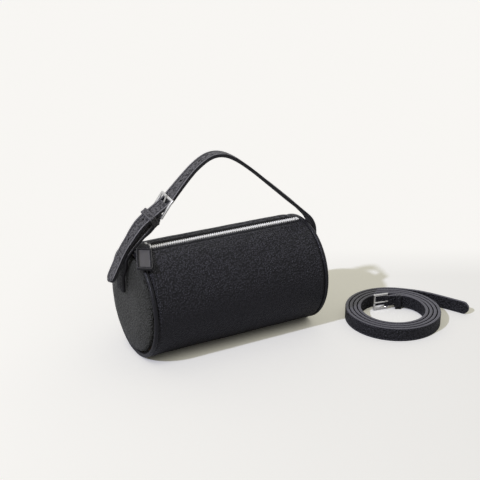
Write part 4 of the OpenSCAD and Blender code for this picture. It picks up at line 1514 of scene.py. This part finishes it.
class BARRELBAG_OT_stage(Operator):
    """Set up the floor, the light and the camera"""
    bl_idname = "barrelbag.stage"
    bl_label = "Stage"

    def execute(self, context):
        scene = context.scene
        fresh()
        bpy.ops.mesh.primitive_plane_add(size=14)
        floor = named("floor")
        floor.data.materials.append(self.paper_sweep(scene.bag_colours.floor))
        scene.world = self.studio()
        data = bpy.data.lights.new("key", 'SUN')
        data.energy = 1.95
        data.color = (0.8, 0.82, 1.0)
        data.angle = math.radians(2)
        lamp = put_in_scene("key", data)
        lamp.rotation_euler = (-Vector(KEY_FROM)).to_track_quat('-Z', 'Y').to_euler()
        data = bpy.data.cameras.new("camera")
        data.sensor_width = 36
        data.lens = CAMERA_LENS
        camera = put_in_scene("camera", data)
        turn = Matrix((Vector(CAMERA_RIGHT), Vector(CAMERA_UP), -Vector(CAMERA_AHEAD)))
        camera.matrix_world = Matrix.Translation(CAMERA_PLACE) @ turn.transposed().to_4x4()
        scene.camera = camera
        scene.view_settings.view_transform = 'Standard'
        return {'FINISHED'}

    def paper_sweep(self, tone):
        """White paper sweep: matt, palest past the bend and on the left, where light's fall-off is painted
        in.

        The other pieces see it dimmer than the camera does. A faint fill, for the camera alone,
        evens it out, save within 25 mm of a piece.
        """
        material, tree, here = started("paper_sweep")
        rays = add(tree, "ShaderNodeLightPath").outputs
        across = add(tree, "ShaderNodeVectorMath", {0: here}, {1: VIEW_RIGHT}, operation='DOT_PRODUCT')
        deep = add(tree, "ShaderNodeVectorMath", {0: here}, {1: VIEW_AHEAD}, operation='DOT_PRODUCT')
        # Painted light: the floor's colour fades from left to right
        side = add(tree, "ShaderNodeMapRange", {"Value": across.outputs["Value"]},
                   span(-0.25, 0.3, 1.0, 0.87))
        past = add(tree, "ShaderNodeMapRange", {"Value": deep.outputs["Value"]}, span(0.15, 0.24, 0.0, 1.0))
        shade = add(tree, "ShaderNodeMix", {0: past.outputs[0], 2: side.outputs[0]}, {3: 1.0})
        mirrored = add(tree, "ShaderNodeMapRange", {"Value": rays["Is Glossy Ray"]},
                       span(0.0, 1.0, 0.36, 0.85))
        dim = add(tree, "ShaderNodeMix", {0: rays["Is Camera Ray"], 2: mirrored.outputs[0]}, {3: 1.0})
        level = add(tree, "ShaderNodeMath", {0: shade.outputs[0], 1: dim.outputs[0]}, operation='MULTIPLY')
        seen = add(tree, "ShaderNodeVectorMath", {"Scale": level.outputs[0]}, {0: tone[:3]},
                   operation='SCALE')
        matt = add(tree, "ShaderNodeBsdfDiffuse", {"Color": seen.outputs[0]})
        open_sky = add(tree, "ShaderNodeAmbientOcclusion", inputs={"Distance": 0.025}, samples=8)
        clear = add(tree, "ShaderNodeMapRange", {"Value": open_sky.outputs["AO"]}, span(0.1, 0.5, 0.0, 1.0))
        lit = add(tree, "ShaderNodeMath", {0: clear.outputs[0], 1: rays["Is Camera Ray"]},
                  operation='MULTIPLY')
        even = add(tree, "ShaderNodeMath", {0: lit.outputs[0], 1: shade.outputs[0]}, operation='MULTIPLY')
        strength = add(tree, "ShaderNodeMath", {0: even.outputs[0]}, {1: 0.34}, operation='MULTIPLY')
        fill = add(tree, "ShaderNodeEmission", {"Strength": strength.outputs[0]},
                   {"Color": linear("#fffbe8")})
        return finished(material, tree, add(
            tree, "ShaderNodeAddShader", {0: matt.outputs[0], 1: fill.outputs[0]}))

    def studio(self):
        """Dim warm room, lighter overhead and ahead, cool in mirrors and pale to the camera."""
        world = bpy.data.worlds.new("studio")
        world.use_nodes = True
        tree = world.node_tree
        tree.nodes.clear()
        rays = add(tree, "ShaderNodeLightPath").outputs
        here = add(tree, "ShaderNodeTexCoord").outputs["Generated"]
        way = add(tree, "ShaderNodeSeparateXYZ", {0: here})
        above = add(tree, "ShaderNodeMapRange", {"Value": way.outputs["Z"]}, span(0.3, 0.95, 0.05, 0.38))
        ahead = add(tree, "ShaderNodeVectorMath", {0: here}, {1: VIEW_AHEAD}, operation='DOT_PRODUCT')
        wall = add(tree, "ShaderNodeMapRange", {"Value": ahead.outputs["Value"]}, span(0.1, 0.5, 0.0, 0.4))
        glow = add(tree, "ShaderNodeMath", {0: above.outputs[0], 1: wall.outputs[0]}, operation='MAXIMUM')
        raised = add(tree, "ShaderNodeMapRange", {"Value": glow.outputs[0]}, span(0.0, 0.5, 0.5, 1.0))
        level = add(tree, "ShaderNodeMix",
                    {0: rays["Is Glossy Ray"], 2: glow.outputs[0], 3: raised.outputs[0]})
        tint = add(tree, "ShaderNodeMix", {0: rays["Is Glossy Ray"]},
                   {6: linear("#fffbe9"), 7: linear("#fbfcff")}, data_type='RGBA')
        shown = add(tree, "ShaderNodeMix", {0: rays["Is Camera Ray"], 2: level.outputs[0]}, {3: 1.0})
        tone = add(tree, "ShaderNodeMix", {0: rays["Is Camera Ray"], 6: tint.outputs[2]},
                   {7: linear("#f8f6f3")}, data_type='RGBA')
        sky = add(tree, "ShaderNodeBackground", {"Strength": shown.outputs[0], "Color": tone.outputs[2]})
        add(tree, "ShaderNodeOutputWorld", {"Surface": sky.outputs[0]})
        return world


class BARRELBAG_PT_panel(Panel):
    """Lists the steps that build the bag"""
    bl_label = "Barrel Bag"
    bl_idname = "BARRELBAG_PT_panel"
    bl_space_type = 'VIEW_3D'
    bl_region_type = 'UI'
    bl_category = "Barrel Bag"

    def draw(self, context):
        for group in ("bag_barrel", "bag_zip", "bag_straps", "bag_colours"):
            values = getattr(context.scene, group)
            box = self.layout.box()
            for key in values.__annotations__:
                box.prop(values, key)
        for operator in OPERATORS:
            self.layout.operator(operator.bl_idname)


GROUPS = {"bag_barrel": BarrelSizes, "bag_zip": ZipSizes, "bag_straps": StrapSizes, "bag_colours": BagColours}
OPERATORS = (
    BARRELBAG_OT_wrap, BARRELBAG_OT_ends, BARRELBAG_OT_zip, BARRELBAG_OT_pull, BARRELBAG_OT_handle,
    BARRELBAG_OT_buckle, BARRELBAG_OT_shoulder_strap, BARRELBAG_OT_inside, BARRELBAG_OT_stage,
)


def register():
    for cls in (*GROUPS.values(), *OPERATORS, BARRELBAG_PT_panel):
        bpy.utils.register_class(cls)
    for name, group in GROUPS.items():
        setattr(bpy.types.Scene, name, PointerProperty(type=group))


def unregister():
    for name in GROUPS:
        delattr(bpy.types.Scene, name)
    for cls in (BARRELBAG_PT_panel, *reversed(OPERATORS), *GROUPS.values()):
        bpy.utils.unregister_class(cls)


def main():
    register()
    for operator in OPERATORS:
        name = operator.bl_idname.split(".")[1]
        getattr(bpy.ops.barrelbag, name)()


if __name__ == "__main__":
    main()
